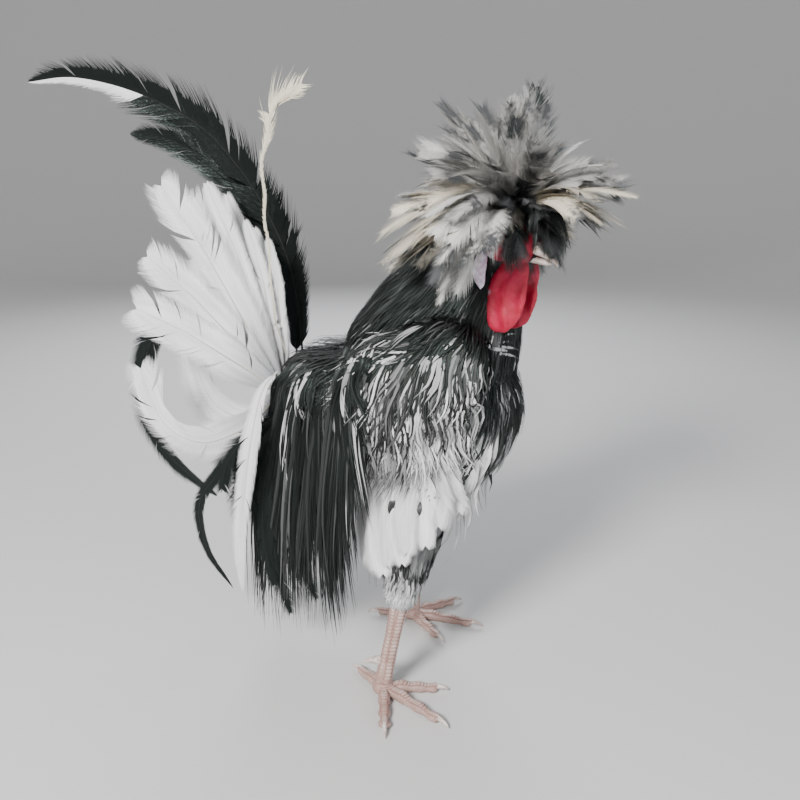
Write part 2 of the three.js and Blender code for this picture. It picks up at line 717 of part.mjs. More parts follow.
for (const [name, side] of Object.entries(sides)) {
  const leg = legs[name];
  place(`thigh_${name}`, "mottled", thigh(leg).subtract(fuse([torsoGrown, wingsGrown])));
  place(`shank_${name}`, "leg", shank(leg).subtract(thigh(leg, GAP)));
  const toes = TOES.map((toe) => toeRod(leg, side, toe));
  const foot = fuse([footBall(leg), ...toes]);
  place(`foot_${name}`, "leg", foot.subtract(fuse([shank(leg, GAP), FLOOR_BLOCK])));
  const toesGrown = fuse(TOES.map((toe) => toeRod(leg, side, toe, GAP)));
  const nearClaws = fuse([toesGrown, FLOOR_BLOCK]);
  for (const toe of TOES) place(`claw_${name}_${toe.name}`, "horn", claw(leg, side, toe).subtract(nearClaws));
  place(`spur_${name}`, "horn", spur(leg, side).subtract(shank(leg, GAP)));
}
const thighsGrown = fuse(Object.values(legs).map((leg) => thigh(leg, GAP)));

place("tail", "white", tailSolid().subtract(torsoGrown));
const coverts = fuse([covertPad(), ...tailCoverts()]);
place("tail_coverts", "black", coverts.subtract(fuse([torsoGrown, tailGrown])));
const covertsGrown = fuse([covertPad(GAP), ...tailCoverts(GAP)]);
let longGrown = fuse([tailGrown, covertsGrown]);
for (const [name, spec] of Object.entries(SICKLES)) {
  place(name, spec.look, sickle(spec).subtract(fuse([longGrown, torsoGrown])));
  longGrown = fuse([longGrown, sickle(spec, GAP)]);
}

// Tiers that lie over the rest are cut clear of all that they cover.
const wingSkin = skinOf([torso(), ...both(wingCore)]);
const wingCover = (side, grow) => fuse([wingCore(side, grow), ...wingFeathers(side, wingSkin, grow)]);
for (const [name, side] of Object.entries(sides)) {
  place(`wing_${name}`, "mottled", wingCover(side).subtract(fuse([torsoGrown, neckGrown, thighsGrown])));
}
const wingCoversGrown = fuse(both(wingCover, GAP));
const crestGrown = fuse([knobGrown, ...crestFeathers(GAP)]);
const neckCover = (grow) => fuse([neckCore(grow), ...neckHackles(skin, grow)]);
const fleshGrown = [...both(wattle, GAP), ...both(earlobe, GAP)];
const nearNeck = fuse([torsoGrown, skullGrown, crestGrown, wingCoversGrown, ...fleshGrown]);
place("neck", "black", neckCover().subtract(nearNeck));
const aroundSaddle = fuse([torsoGrown, neckCover(GAP), thighsGrown, wingCoversGrown, longGrown]);
for (const [name, side] of Object.entries(sides)) {
  const saddle = fuse([saddlePad(side), ...saddleHackles(side, skin)]);
  place(`saddle_${name}`, "black", saddle.subtract(aroundSaddle));
}

// The origin is the middle of the bird in plan, on the floor.
const bird = new THREE.Group();
bird.add(...nodes);
const middle = new THREE.Box3().setFromObject(bird).getCenter(new THREE.Vector3());
bird.position.set(-middle.x, -middle.y, 0);
export default bird;
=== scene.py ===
"""The looks of a life-size Polish crested rooster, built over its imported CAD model.

Shapes are worked out in the bird's own millimetres, +X forward, +Y to its left and +Z up,
and row() turns them into metres in the row's frame.
"""

import math
from itertools import product

import bpy
import numpy as np
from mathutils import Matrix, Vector, noise
from mathutils.bvhtree import BVHTree


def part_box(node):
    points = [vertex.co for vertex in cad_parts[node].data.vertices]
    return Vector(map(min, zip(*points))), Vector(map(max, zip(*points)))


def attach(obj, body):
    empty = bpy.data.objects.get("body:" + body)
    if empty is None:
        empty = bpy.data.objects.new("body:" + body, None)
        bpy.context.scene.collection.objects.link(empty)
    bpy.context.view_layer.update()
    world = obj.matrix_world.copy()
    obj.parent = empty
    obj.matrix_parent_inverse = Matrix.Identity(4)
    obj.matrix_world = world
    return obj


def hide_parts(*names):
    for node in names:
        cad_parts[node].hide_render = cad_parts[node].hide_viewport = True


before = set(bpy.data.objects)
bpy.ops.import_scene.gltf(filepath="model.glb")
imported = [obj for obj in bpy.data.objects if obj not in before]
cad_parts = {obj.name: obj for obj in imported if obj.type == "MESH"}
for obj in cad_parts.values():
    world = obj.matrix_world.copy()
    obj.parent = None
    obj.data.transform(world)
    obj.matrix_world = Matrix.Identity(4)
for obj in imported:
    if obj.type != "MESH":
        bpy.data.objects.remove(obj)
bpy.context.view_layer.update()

MM = 0.001
TORSO_MIDDLE_X = -8.0  # the torso reaches from its tail end to its breast about this x
_low, _high = (np.array(corner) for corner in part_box("torso"))
_middle = (_low + _high) / 2 / MM
SHIFT = np.array([_middle[0] - TORSO_MIDDLE_X, _middle[1], 0.0])
RIGHT, LEFT = -1, 1
SIDES = {"right": RIGHT, "left": LEFT}
UP = np.array([0.0, 0.0, 1.0])
ALONG_X, ALONG_Y = (1, 0, 0), (0, 1, 0)
CURVE_STEPS = 16  # steps between two given points of a curve


def row(points):
    """The bird's millimetres as metres in the row's frame."""
    return (np.asarray(points, float) + SHIFT) * MM


def unit(v):
    v = np.asarray(v, float)
    return v / np.maximum(np.linalg.norm(v, axis=-1, keepdims=True), 1e-9)


def lerp(a, b, t):
    return a + (b - a) * t


def smooth_step(low, high, x):
    t = np.clip((x - low) / (high - low), 0, 1)
    return t * t * (3 - 2 * t)


def along_curve(points, samples):
    """A smooth curve through the points, as that many places evenly spaced by length."""
    p = np.asarray(points, float)
    ends = np.vstack([2 * p[:1] - p[1:2], p, 2 * p[-1:] - p[-2:-1]])
    fine = []
    for i in range(len(p) - 1):
        a, b, c, d = ends[i : i + 4]
        t = np.linspace(0, 1, CURVE_STEPS, endpoint=False)[:, None]
        bend, twist = 2 * a - 5 * b + 4 * c - d, 3 * b - a - 3 * c + d
        fine.append(0.5 * (2 * b + (c - a) * t + bend * t**2 + twist * t**3))
    fine = np.vstack(fine + [p[-1:]])
    steps = np.linalg.norm(np.diff(fine[:, :3], axis=0), axis=1)
    gone = np.concatenate([[0], np.cumsum(steps)])
    at = np.linspace(0, gone[-1], samples)
    return np.stack([np.interp(at, gone, fine[:, k]) for k in range(p.shape[1])], axis=1)


# Meshes


def new_object(name, points, faces):
    """An object from points in the bird's millimetres and a list of equal-sided face arrays."""
    faces = [np.asarray(f, np.int32) for f in faces if len(f)]
    mesh = bpy.data.meshes.new(name)
    mesh.vertices.add(len(points))
    mesh.vertices.foreach_set("co", row(points).astype(np.float32).ravel())
    corners = np.concatenate([f.ravel() for f in faces])
    sizes = np.concatenate([np.full(len(f), f.shape[1]) for f in faces])
    mesh.loops.add(len(corners))
    mesh.loops.foreach_set("vertex_index", corners.astype(np.int32))
    mesh.polygons.add(len(sizes))
    starts = np.concatenate([[0], np.cumsum(sizes)[:-1]])
    mesh.polygons.foreach_set("loop_start", starts.astype(np.int32))
    mesh.update(calc_edges=True)
    mesh.validate()
    mesh.shade_smooth()
    made = bpy.data.objects.new(name, mesh)
    bpy.context.scene.collection.objects.link(made)
    return made


def set_values(mesh, name, kind, values):
    """Keeps a number, a vector or a colour for each point, for the shader."""
    layer = mesh.attributes.new(name, kind, "POINT")
    field = {"FLOAT_COLOR": "color", "FLOAT_VECTOR": "vector", "FLOAT": "value"}[kind]
    layer.data.foreach_set(field, np.asarray(values, np.float32).ravel())


def loft(stations, around=32, rings=40, across=ALONG_Y):
    """A closed egg-like body, as points and faces. A station is x, y, z, across, above, below."""
    return loft_rings(along_curve(stations, rings), around, across)


def loft_rings(rows, around, across=ALONG_Y):
    """The same from every ring, without a curve laid through them."""
    rows = np.array(rows, float)
    rings = len(rows)
    rows[:, 3:] = np.maximum(rows[:, 3:], 0)
    centre = rows[:, :3]
    forward = unit(np.gradient(centre, axis=0))
    side = unit(np.array(across) - forward * (forward @ np.array(across))[:, None])
    up = np.cross(forward, side)
    turn = 2 * np.pi * np.arange(around) / around
    rise = np.sin(turn)[None, :, None]
    high = np.where(rise > 0, rows[:, 4][:, None, None], rows[:, 5][:, None, None])
    body = centre[:, None] + side[:, None] * np.cos(turn)[None, :, None] * rows[:, 3][:, None, None]
    body = (body + up[:, None] * rise * high).reshape(-1, 3)
    i, k = np.meshgrid(np.arange(rings - 1), np.arange(around), indexing="ij")
    a, b = i * around + k, i * around + (k + 1) % around
    return body, np.stack([a, b, b + around, a + around], axis=-1).reshape(-1, 4)


def joined(shapes):
    """Several shapes as one list of points and one of faces."""
    points, faces, first = [], [], 0
    for p, f in shapes:
        points.append(p)
        faces.append(f + first)
        first += len(p)
    return np.vstack(points), np.vstack(faces)


def one_skin(name, shapes, voxel, rounds=6):
    """Fuses closed shapes into one smooth surface, with voxels of that many millimetres."""
    points, faces = joined(shapes)
    made = new_object(name, points, [faces])
    remesh = made.modifiers.new("fuse", "REMESH")
    remesh.mode = "VOXEL"
    remesh.voxel_size = voxel * MM
    soften = made.modifiers.new("soften", "SMOOTH")
    soften.factor = 0.5
    soften.iterations = rounds
    seen = made.evaluated_get(bpy.context.evaluated_depsgraph_get())
    shaped = bpy.data.meshes.new_from_object(seen)
    made.modifiers.clear()
    old = made.data
    made.data = shaped
    bpy.data.meshes.remove(old)
    made.data.shade_smooth()
    return made


def read_points(made, field):
    """One vector a point: its place in the row's frame, or its normal."""
    flat = np.empty(3 * len(made.data.vertices), np.float32)
    made.data.vertices.foreach_get(field, flat)
    return flat.reshape(-1, 3)


def points_of(made):
    """An object's points in the bird's millimetres."""
    return read_points(made, "co") / MM - SHIFT


def move_points(made, points):
    made.data.vertices.foreach_set("co", row(points).astype(np.float32).ravel())
    made.data.update()


def normals_of(made):
    return read_points(made, "normal")


def tree_of(made):
    """What finds the nearest place on an object, in the bird's millimetres."""
    points = [Vector(p) for p in points_of(made)]
    return BVHTree.FromPolygons(points, [list(p.vertices) for p in made.data.polygons])


def side_of(tree, x, z, side):
    """How far the surface reaches out sideways at a place, or None beside it."""
    hit = tree.ray_cast(Vector((x, side * 160, z)), Vector((0, -side, 0)))[0]
    return abs(hit.y) if hit else None


# Head, body and legs, as in the solids, but for a slimmer breast and an eye set further out

HEAD_CENTRE = np.array([100.0, -30.0, 398.0])
HEAD_YAW = math.radians(-20)
HEAD_PITCH = math.radians(8)
CREST_ROOT = np.array([-5.0, 0.0, 17.0])
CREST_REACH = 98
SKULL_HALF_WIDTH = 17
EYE_RADIUS = 4.6
BEAK_LENGTH = 26


def turn_z(a):
    return np.array([[math.cos(a), -math.sin(a), 0], [math.sin(a), math.cos(a), 0], [0, 0, 1]])


def turn_y(a):
    return np.array([[math.cos(a), 0, math.sin(a)], [0, 1, 0], [-math.sin(a), 0, math.cos(a)]])


HEAD_TURN = turn_z(HEAD_YAW) @ turn_y(HEAD_PITCH)


def on_head(points):
    return np.asarray(points, float) @ HEAD_TURN.T + HEAD_CENTRE


def head_aim(v):
    return np.asarray(v, float) @ HEAD_TURN.T


def headed(shape):
    """A shape made on the head's own axes, set on the bird."""
    return on_head(shape[0]), shape[1]


# Each station is x, y, z and the half sizes across, above and below. Those of the head are on its
# own axes, from the middle of the skull.
TORSO = [
    (-112, 0, 272, 0, 0, 0), (-104, 0, 271, 15, 15, 17), (-85, 0, 266, 31, 28, 34),
    (-60, 0, 256, 46, 42, 52), (-30, 0, 250, 58, 62, 72), (0, 0, 248, 64, 80, 86),
    (30, 0, 252, 65, 86, 90), (54, 0, 259, 58, 78, 71), (71, 0, 267, 47, 60, 54),
    (84, 0, 275, 31, 41, 37), (92, 0, 281, 16, 20, 22), (96, 0, 283, 0, 0, 0),
]
NECK = [
    (14, 0, 255, 0, 0, 0), (20, 0, 275, 58, 66, 64), (34, -1, 305, 58, 68, 66),
    (46, -3, 335, 51, 60, 60), (58, -8, 362, 41, 47, 47), (71, -15, 384, 26, 29, 29),
    (83, -22, 399, 15, 17, 16), (91, -26, 406, 0, 0, 0),
]
WING = [
    (88, 44, 300, 0, 0, 0), (80, 52, 301, 8, 20, 24), (62, 62, 296, 11, 34, 42),
    (34, 67, 284, 12, 40, 48), (6, 68, 270, 11, 36, 44), (-18, 65, 258, 8, 24, 30),
    (-34, 59, 252, 0, 0, 0),
]
SKULL = [
    (-25, 0, 2, 0, 0, 0), (-20, 0, 3, 11, 11, 11), (-10, 0, 2, 16, 17, 17),
    (2, 0, 1, SKULL_HALF_WIDTH, 17, 18), (12, 0, -1, 13.5, 14, 15), (20, 0, -4, 9, 9, 10),
    (24, 0, -5, 0, 0, 0),
]
EYE_PLACE = (3, 15.4, 2)
WATTLE = [
    (14, 5, -7, 0, 0, 0), (12, 6.5, -12, 8.5, 3.6, 3.6), (9, 8, -24, 14, 4, 4),
    (6.5, 9, -38, 17.5, 4.6, 4.6), (4, 9.5, -52, 17, 4.6, 4.6), (1, 9.5, -64, 12.5, 4, 4),
    (-1, 9, -72, 0, 0, 0),
]
LOBE = [
    (-17, 17, 4, 0, 0, 0), (-16, 19, -1, 5.5, 2.8, 2.8), (-14.5, 20.5, -12, 6.6, 3.2, 3.2),
    (-13, 21, -24, 5.5, 3, 3), (-11, 20.5, -33, 3.6, 2.4, 2.4), (-9.5, 20, -39, 0, 0, 0),
]
COMB_HORN = [
    (12, 2.5, 4, 0, 0, 0), (15, 3, 8, 3, 3.4, 3.4), (15, 4.5, 14, 2.4, 2.6, 2.6),
    (13, 6.5, 21, 0, 0, 0),
]
CHEEK = [
    (-16, 10, -6, 0, 0, 0), (-12, 11, -5, 7, 9, 9), (0, 10, -4, 8, 11, 11),
    (14, 6, -7, 7, 8, 8), (22, 3, -8, 0, 0, 0),
]
UPPER_BEAK = [
    (14, 0, -3, 0, 0, 0), (17, 0, -3, 7.2, 5.5, 3), (24, 0, -3.6, 5.8, 4.8, 2.6),
    (31, 0, -5.2, 4.2, 3.9, 2.2), (36, 0, -7, 3, 3, 1.9),
    (BEAK_LENGTH + 13, 0, -9, 1.8, 2.1, 1.5), (BEAK_LENGTH + 14.5, 0, -12, 0, 0, 0),
]
LOWER_BEAK = [
    (13, 0, -9.5, 0, 0, 0), (16, 0, -9.5, 6.2, 3, 3), (24, 0, -9.6, 4.8, 2.2, 2.8),
    (BEAK_LENGTH + 6, 0, -10, 2.6, 1.4, 2), (BEAK_LENGTH + 10, 0, -10.6, 0, 0, 0),
]
LEGS = {
    "right": {"foot": (6, -66), "heading": -24, "hock": (20, -63, 90), "knee": (30, -52, 172)},
    "left": {"foot": (-6, 58), "heading": 2, "hock": (4, 58, 94), "knee": (22, 52, 174)},
}
THIGH = [
    (-0.28, 0, 0, 0), (-0.12, 20, 26, 28), (0.15, 23, 27, 28), (0.42, 20, 22, 22),
    (0.66, 16, 18, 18), (0.86, 13, 14.5, 14.5), (1, 10, 11, 11), (1.08, 0, 0, 0),
]


def mirrored(stations, side):
    """Stations given for the left, on either side."""
    return [(x, side * y, z, *r) for x, y, z, *r in stations]


def thigh_stations(leg):
    knee, hock = np.array(leg["knee"], float), np.array(leg["hock"], float)
    return [(*lerp(knee, hock, t), *radii) for t, *radii in THIGH]


def body_shapes():
    """Torso, neck, wings, thighs and skull, which fuse into the skin under the feathers."""
    shapes = [loft(TORSO, 48, 60), loft(NECK, 48, 50)]
    shapes += [loft(mirrored(WING, side)) for side in SIDES.values()]
    shapes += [loft(thigh_stations(leg)) for leg in LEGS.values()]
    return shapes + [headed(loft(SKULL, 32, 30))]


# Feathers


VANE_CUP = 0.12  # how far a strand's edges curl down, as a share of its half width
STRAND_GAP = 3.0  # how far apart the outer strands of a tuft spring
STRAND_LIFT = 0.7  # every other strand ends this much higher
STRAND_OVERLAP = 1.6
STRAND_SHADES = (0.68, 1.18)
SHORTEST_STRAND = 0.72
BODY_SCALE = 25.0  # the size of the waves that run through neighbouring tufts
BARB_THICK = 0.07
BARB_WIDTH = 0.8  # as a share of the gap between barbs
PATCH_SIZE = 0.003  # how large one feather is on the baked picture
PATCH_MIDDLE = np.array([0.5, 0.5])
SKIN_SUNK = 1.5  # how far the skin sinks under the feathers in the end


STRAIGHT_BARB = [(0, 1, 3), (1, 2, 3), (2, 0, 3), (0, 2, 1)]
BENT_BARB = [
    (0, 1, 4), (0, 4, 3), (1, 2, 5), (1, 5, 4), (2, 0, 3), (2, 3, 5),
    (3, 4, 6), (4, 5, 6), (5, 3, 6), (0, 2, 1),
]


def tube_quads(rows, around):
    """The faces of an open tube whose rings follow one another."""
    i, k = np.meshgrid(np.arange(rows - 1), np.arange(around), indexing="ij")
    a, b = i * around + k, i * around + (k + 1) % around
    return np.stack([a, a + around, b + around, b], axis=-1).reshape(-1, 4)


class Coat:
    """Feathers gathered as closed vanes, with what the shader and the bake need at each point."""

    def __init__(self, seed):
        self.draw = np.random.default_rng(seed)
        self.points, self.quads, self.triangles = [], [], []
        self.vane, self.ground, self.mark, self.patch = [], [], [], []
        self.count = 0

    def _add(self, points, quads, triangles, vane, ground, mark, patch):
        """One row a feather: points (F, N, 3), faces by index into N, and looks (F, N, ...)."""
        feathers, n = points.shape[:2]
        first = self.count + n * np.arange(feathers)[:, None, None]
        self.points.append(points.reshape(-1, 3))
        if len(quads):
            self.quads.append((np.asarray(quads)[None] + first).reshape(-1, 4))
        if len(triangles):
            self.triangles.append((np.asarray(triangles)[None] + first).reshape(-1, 3))
        self.vane.append(vane.reshape(-1, 3))
        self.ground.append(np.broadcast_to(ground[:, None], (feathers, n, 4)).reshape(-1, 4))
        self.mark.append(np.broadcast_to(mark[:, None], (feathers, n, 4)).reshape(-1, 4))
        spread = np.stack([vane[..., 1] * 0.5 + 0.5, vane[..., 0]], axis=-1) * PATCH_SIZE
        self.patch.append((patch[:, None] + spread).reshape(-1, 2))
        self.count += feathers * n

    def vanes(self, spine, face, half, thick, ground, mark, patch):
        """Thin ridged vanes along spines (F, R, 3), with faces and half widths (F, R, 2)."""
        feathers, rows = spine.shape[:2]
        along = unit(np.gradient(spine, axis=1))
        side = unit(np.cross(face, along))
        out = np.cross(along, side)
        left, right = half[..., :1], half[..., 1:]
        t = np.linspace(0, 1, rows)[None, :, None]
        near = spine + side * left - out * left * VANE_CUP
        ridge = spine + out * (thick * (0.6 - 0.45 * t))
        far = spine - side * right - out * right * VANE_CUP
        ring = np.stack([near, ridge, far], axis=2)
        vane = np.zeros((feathers, rows, 3, 3))
        vane[..., 0] = t
        vane[..., 1] = np.array([1.0, 0, -1.0])
        vane[..., 2] = self.draw.random(feathers)[:, None, None]
        last = 3 * (rows - 1)
        ends = [(0, 1, 2), (last + 2, last + 1, last)]
        self._add(
            ring.reshape(feathers, -1, 3), tube_quads(rows, 3), ends, vane.reshape(feathers, -1, 3),
            ground, mark, patch,
        )

    def tufts(self, spine, face, half, thick, ground, mark, patch, strands, spread, wave=0.02):
        """Each feather split into narrow strands that fan out and wave a little."""
        feathers, rows = spine.shape[:2]
        steps = np.linalg.norm(np.diff(spine, axis=1), axis=2)
        length = steps.sum(axis=1)[:, None, None]
        side = unit(np.cross(face, np.gradient(spine, axis=1)))
        t = np.linspace(0, 1, rows)[None, :, None]
        bend = self.draw.normal(0, spread * 0.4, (feathers, strands))
        phase = np.array([noise.noise(Vector(p) / BODY_SCALE) for p in spine[:, 0]]) * 9
        swing = np.sin(7.5 * t + phase[:, None, None]) * wave * length * t
        for k in range(strands):
            place = k / max(1, strands - 1) - 0.5
            fan = (place * 2 * spread + bend[:, k])[:, None, None]
            shift = side * (fan * length * t + place * STRAND_GAP + swing)
            reach = self.draw.uniform(SHORTEST_STRAND, 1.0, (feathers, 1, 1))
            strand = spine[:, :1] + (spine - spine[:, :1]) * reach + shift
            strand = strand + face * (STRAND_LIFT * (k % 2) * t)
            shade = self.draw.uniform(*STRAND_SHADES, (feathers, 1))
            edge = ground[:, 3] + self.draw.normal(0, 0.1, feathers)
            tone = np.c_[ground[:, :3] * shade, edge]
            self.vanes(strand, face, half / strands * STRAND_OVERLAP, thick, tone, mark, patch)

    def soften(self, spines, faces, width, shape, thick, tones, patch, strands, spread, wave=0.02,
               **marks):
        """Tufts along all the spines, with their outlines and colours drawn at random."""
        spines, faces = np.array(spines), np.array(faces)
        half = half_widths(self.draw, width, spines.shape[1], shape)
        ground, mark = colours(self.draw, tones, **marks)
        self.tufts(spines, faces, half, thick, ground, mark, patch, strands, spread, wave)

    def outline(self, rows, width, shape, ragged=0.03):
        """The half widths of one feather."""
        return half_widths(self.draw, [width], rows, shape, ragged)[0]

    def barbed(self, spine, face, half, ground, mark, patch, paint=None, gap=1.2, shaft=0.9,
               splits=9, sweep=0.9, ragged=0.12, bent=True, part=0.16):
        """One big feather: a tapering shaft with thin barbs on each side, parted here and there.

        paint, if any, takes the places along the shaft and the side, and gives ground and mark.
        """
        rows = len(spine)
        along = unit(np.gradient(spine, axis=0))
        side = unit(np.cross(face, along))
        out = np.cross(along, side)
        length = np.linalg.norm(np.diff(spine, axis=0), axis=1).sum()
        self._shaft(spine, side, out, shaft, ground, mark, patch)
        count = max(8, int(length / gap))
        at = np.linspace(0.02, 0.995, count)
        place = at * (rows - 1)
        low = np.minimum(place.astype(int), rows - 2)
        mix = (place - low)[:, None]
        root, ahead, sideways, outward = (
            values[low] * (1 - mix) + values[low + 1] * mix for values in (spine, along, side, out)
        )
        share = self.draw.random()
        for sign, column in ((1, 0), (-1, 1)):
            reach = np.interp(at, np.linspace(0, 1, rows), half[:, column])
            reach = reach * (1 + ragged * (self.draw.random(count) - 0.6))
            cell = np.searchsorted(np.sort(self.draw.random(splits)), at)
            pull = self.draw.normal(0, part, splits + 1)[cell]
            lift = self.draw.normal(0, 0.05, splits + 1)[cell]
            lean = (sweep * (0.8 + 0.6 * at) + pull)[:, None]
            aim = unit(sideways * sign + ahead * lean + outward * (lift - 0.1)[:, None])
            stretch = np.sqrt(1 + lean**2)
            span = reach[:, None] * stretch
            wide = ahead * gap * BARB_WIDTH
            high = outward * BARB_THICK
            rings = [root - wide, root + wide, root + high]
            steps, triangles = [0, 0, 0, 1], STRAIGHT_BARB
            if bent:
                bow = outward * (0.02 * span) + sideways * sign * span * 0.06
                middle = root + aim * span * 0.5 + bow
                rings += [middle - wide * 0.8, middle + wide * 0.8, middle + high]
                steps, triangles = [0, 0, 0, 0.5, 0.5, 0.5, 1], BENT_BARB
            points = np.stack([*rings, root + aim * span], axis=1)
            vane = np.zeros((count, len(steps), 3))
            vane[..., 0] = np.minimum(at[:, None] + span * lean / length / stretch * steps, 1)
            vane[..., 1] = sign * np.maximum(steps, 0.07)
            vane[..., 2] = share
            tones = paint(at, sign) if paint else (ground, mark)
            looks = [np.broadcast_to(tone, (count, 4)) for tone in tones]
            self._add(points, [], triangles, vane, *looks, np.broadcast_to(patch, (count, 2)))

    def _shaft(self, spine, side, out, radius, ground, mark, patch):
        rows = len(spine)
        r = (radius * (1.06 - np.linspace(0, 1, rows) ** 0.8))[:, None]
        side, out = side * r, out * r
        ring = np.stack([spine + side, spine + out, spine - side, spine - out], axis=1)
        last = 4 * (rows - 1)
        ends = [[0, 1, 2, 3], [last + 3, last + 2, last + 1, last]]
        vane = np.zeros((1, rows * 4, 3))
        vane[0, :, 0] = np.repeat(np.linspace(0, 1, rows), 4)
        quads = np.vstack([tube_quads(rows, 4), ends])
        self._add(ring.reshape(1, -1, 3), quads, [], vane, ground[None], mark[None], patch[None])

    def finish(self, name, slot, material, replaces=()):
        faces = [np.vstack(f) for f in (self.quads, self.triangles) if f]
        made = new_object(name, np.vstack(self.points), faces)
        mesh = made.data
        set_values(mesh, "vane", "FLOAT_VECTOR", np.vstack(self.vane))
        set_values(mesh, "ground", "FLOAT_COLOR", np.vstack(self.ground))
        set_values(mesh, "mark", "FLOAT_COLOR", np.vstack(self.mark))
        corner = np.empty(len(mesh.loops), np.int32)
        mesh.loops.foreach_get("vertex_index", corner)
        layer = mesh.uv_layers.new(name="OFBake")
        layer.data.foreach_set("uv", np.vstack(self.patch)[corner].astype(np.float32).ravel())
        mesh.set_sharp_from_angle(angle=math.radians(60))
        settle(made, slot, material, replaces)


def settle(made, slot, material, replaces=()):
    """Gives a piece its material, its body and the solids that it stands for. The slot is not used.
    """
    made.data.materials.append(material)
    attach(made, "root")
    if replaces:
        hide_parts(*replaces)


def rounded(t, start, span):
    """1 up to the start of a feather's tip, then a quarter ellipse."""
    return np.sqrt(np.clip(1 - (np.maximum(0, t - start) / span) ** 2, 0, 1))


# How a feather's half width changes from its root, at 0, to its tip, at 1
def lance(t):
    return np.minimum(1, 0.35 + 3.5 * t) * (1 - t**2.2)


def spear(t):
    return np.minimum(1, 0.4 + 4 * t) * (1 - t**1.5)


def broad(t):
    return np.minimum(1, 0.3 + 3 * t) * rounded(t, 0.72, 0.285)


def oval(t):
    return np.minimum(1, 0.3 + 3 * t) * rounded(t, 0.55, 0.46)


def curved_blade(t):
    return np.minimum(1, 0.3 + 3 * t) * (1 - t**4) ** 0.8


def half_widths(draw, width, rows, shape, ragged=0.1):
    """Half widths on each side of many feathers, (F, R, 2), with a little raggedness."""
    base = shape(np.linspace(0, 1, rows))[None, :, None] * np.asarray(width).reshape(-1, 1, 1) / 2
    uneven = 1 + ragged * draw.uniform(-1, 1, (len(width), rows, 2))
    return np.maximum(base * uneven, 0.12)


def drape(tree, root, aim, length, rows, lift0, lift1):
    """A feather's spine laid over a surface from its root, with the outward face at each step."""
    step = length / (rows - 1)
    place = Vector(root)
    heading = Vector(aim)
    spine, faces = [], []
    for k in range(rows):
        lift = lift0 + (lift1 - lift0) * (k / (rows - 1))
        spot, normal, _, _ = tree.find_nearest(place)
        gap = (place - spot).dot(normal)
        if gap < lift or k:
            place = spot + normal * lift
        spine.append(tuple(place))
        faces.append(tuple(normal))
        heading = heading - normal * min(0.0, heading.dot(normal))
        if gap < lift + 3:
            heading = heading - normal * heading.dot(normal)
        heading.normalize()
        place = place + heading * step
    return spine, faces


SCATTER_TRIES = 40000
SCATTER_CELL = 12.0  # wider than any gap between roots
NEIGHBOURS = list(product((-1, 0, 1), repeat=3))


def scatter(made, gap, keep, draw):
    """Roots on an object, no nearer each other than their own gap, with the surface's normals."""
    points = points_of(made)
    mesh = made.data
    mesh.calc_loop_triangles()
    tri = np.empty(3 * len(mesh.loop_triangles), np.int32)
    mesh.loop_triangles.foreach_get("vertices", tri)
    a, b, c = (points[tri.reshape(-1, 3)[:, k]] for k in range(3))
    area = np.linalg.norm(np.cross(b - a, c - a), axis=1)
    face = draw.choice(len(a), SCATTER_TRIES, p=area / area.sum())
    u, v = draw.random((2, SCATTER_TRIES))
    flip = u + v > 1
    u, v = np.where(flip, 1 - u, u), np.where(flip, 1 - v, v)
    spots = a[face] + (b - a)[face] * u[:, None] + (c - a)[face] * v[:, None]
    normals = unit(np.cross(b - a, c - a))[face]
    kept_spots, kept_normals = [], []
    grid = {}
    for spot, normal in zip(spots, normals):
        if not keep(spot, normal):
            continue
        i, j, k = (int(cell) for cell in spot // SCATTER_CELL)
        near = [q for x, y, z in NEIGHBOURS for q in grid.get((i + x, j + y, k + z), ())]
        if near and (((np.array(near) - spot) ** 2).sum(axis=1) < gap(spot) ** 2).any():
            continue
        grid.setdefault((i, j, k), []).append(spot)
        kept_spots.append(spot)
        kept_normals.append(normal)
    return np.array(kept_spots), np.array(kept_normals)


# Materials


class Socket:
    """A node's output that can be used in Python sums."""

    def __init__(self, tree, link):
        self.tree, self.link = tree, link

    def node(self, kind, settings=(), inputs=(), output=0):
        made = self.tree.nodes.new(kind)
        for name, value in dict(settings).items():
            setattr(made, name, value)
        for key, value in dict(inputs).items():
            if isinstance(value, Socket):
                self.tree.links.new(value.link, made.inputs[key])
            else:
                made.inputs[key].default_value = value
        return Socket(self.tree, made.outputs[output])

    def _maths(self, kind, *values):
        return self.node("ShaderNodeMath", {"operation": kind}, dict(enumerate(values)))

    def __add__(self, other):
        return self._maths("ADD", self, other)

    def __mul__(self, other):
        return self._maths("MULTIPLY", self, other)

    def __sub__(self, other):
        return self._maths("SUBTRACT", self, other)

    def __rsub__(self, other):
        return self._maths("SUBTRACT", other, self)

    __radd__ = __add__
    __rmul__ = __mul__

    def magnitude(self):
        return self._maths("ABSOLUTE", self)

    def wave(self):
        return self._maths("SINE", self)

    def ramp(self, low, high):
        """0 below low and 1 above high, smoothly."""
        inputs = {"Value": self, "From Min": low, "From Max": high}
        return self.node("ShaderNodeMapRange", {"interpolation_type": "SMOOTHSTEP"}, inputs)

    def part(self, index):
        """One of a vector's three numbers."""
        return self.node("ShaderNodeSeparateXYZ", inputs={0: self}, output=index)


def blend(share, a, b):
    """A mix of two colours, by a share from 0 to 1."""
    tree = next(s.tree for s in (share, a, b) if isinstance(s, Socket))
    mix = tree.nodes.new("ShaderNodeMix")
    mix.data_type = "RGBA"
    for index, value in ((0, share), (6, a), (7, b)):
        if isinstance(value, Socket):
            tree.links.new(value.link, mix.inputs[index])
        else:
            mix.inputs[index].default_value = value
    return Socket(tree, mix.outputs[2])


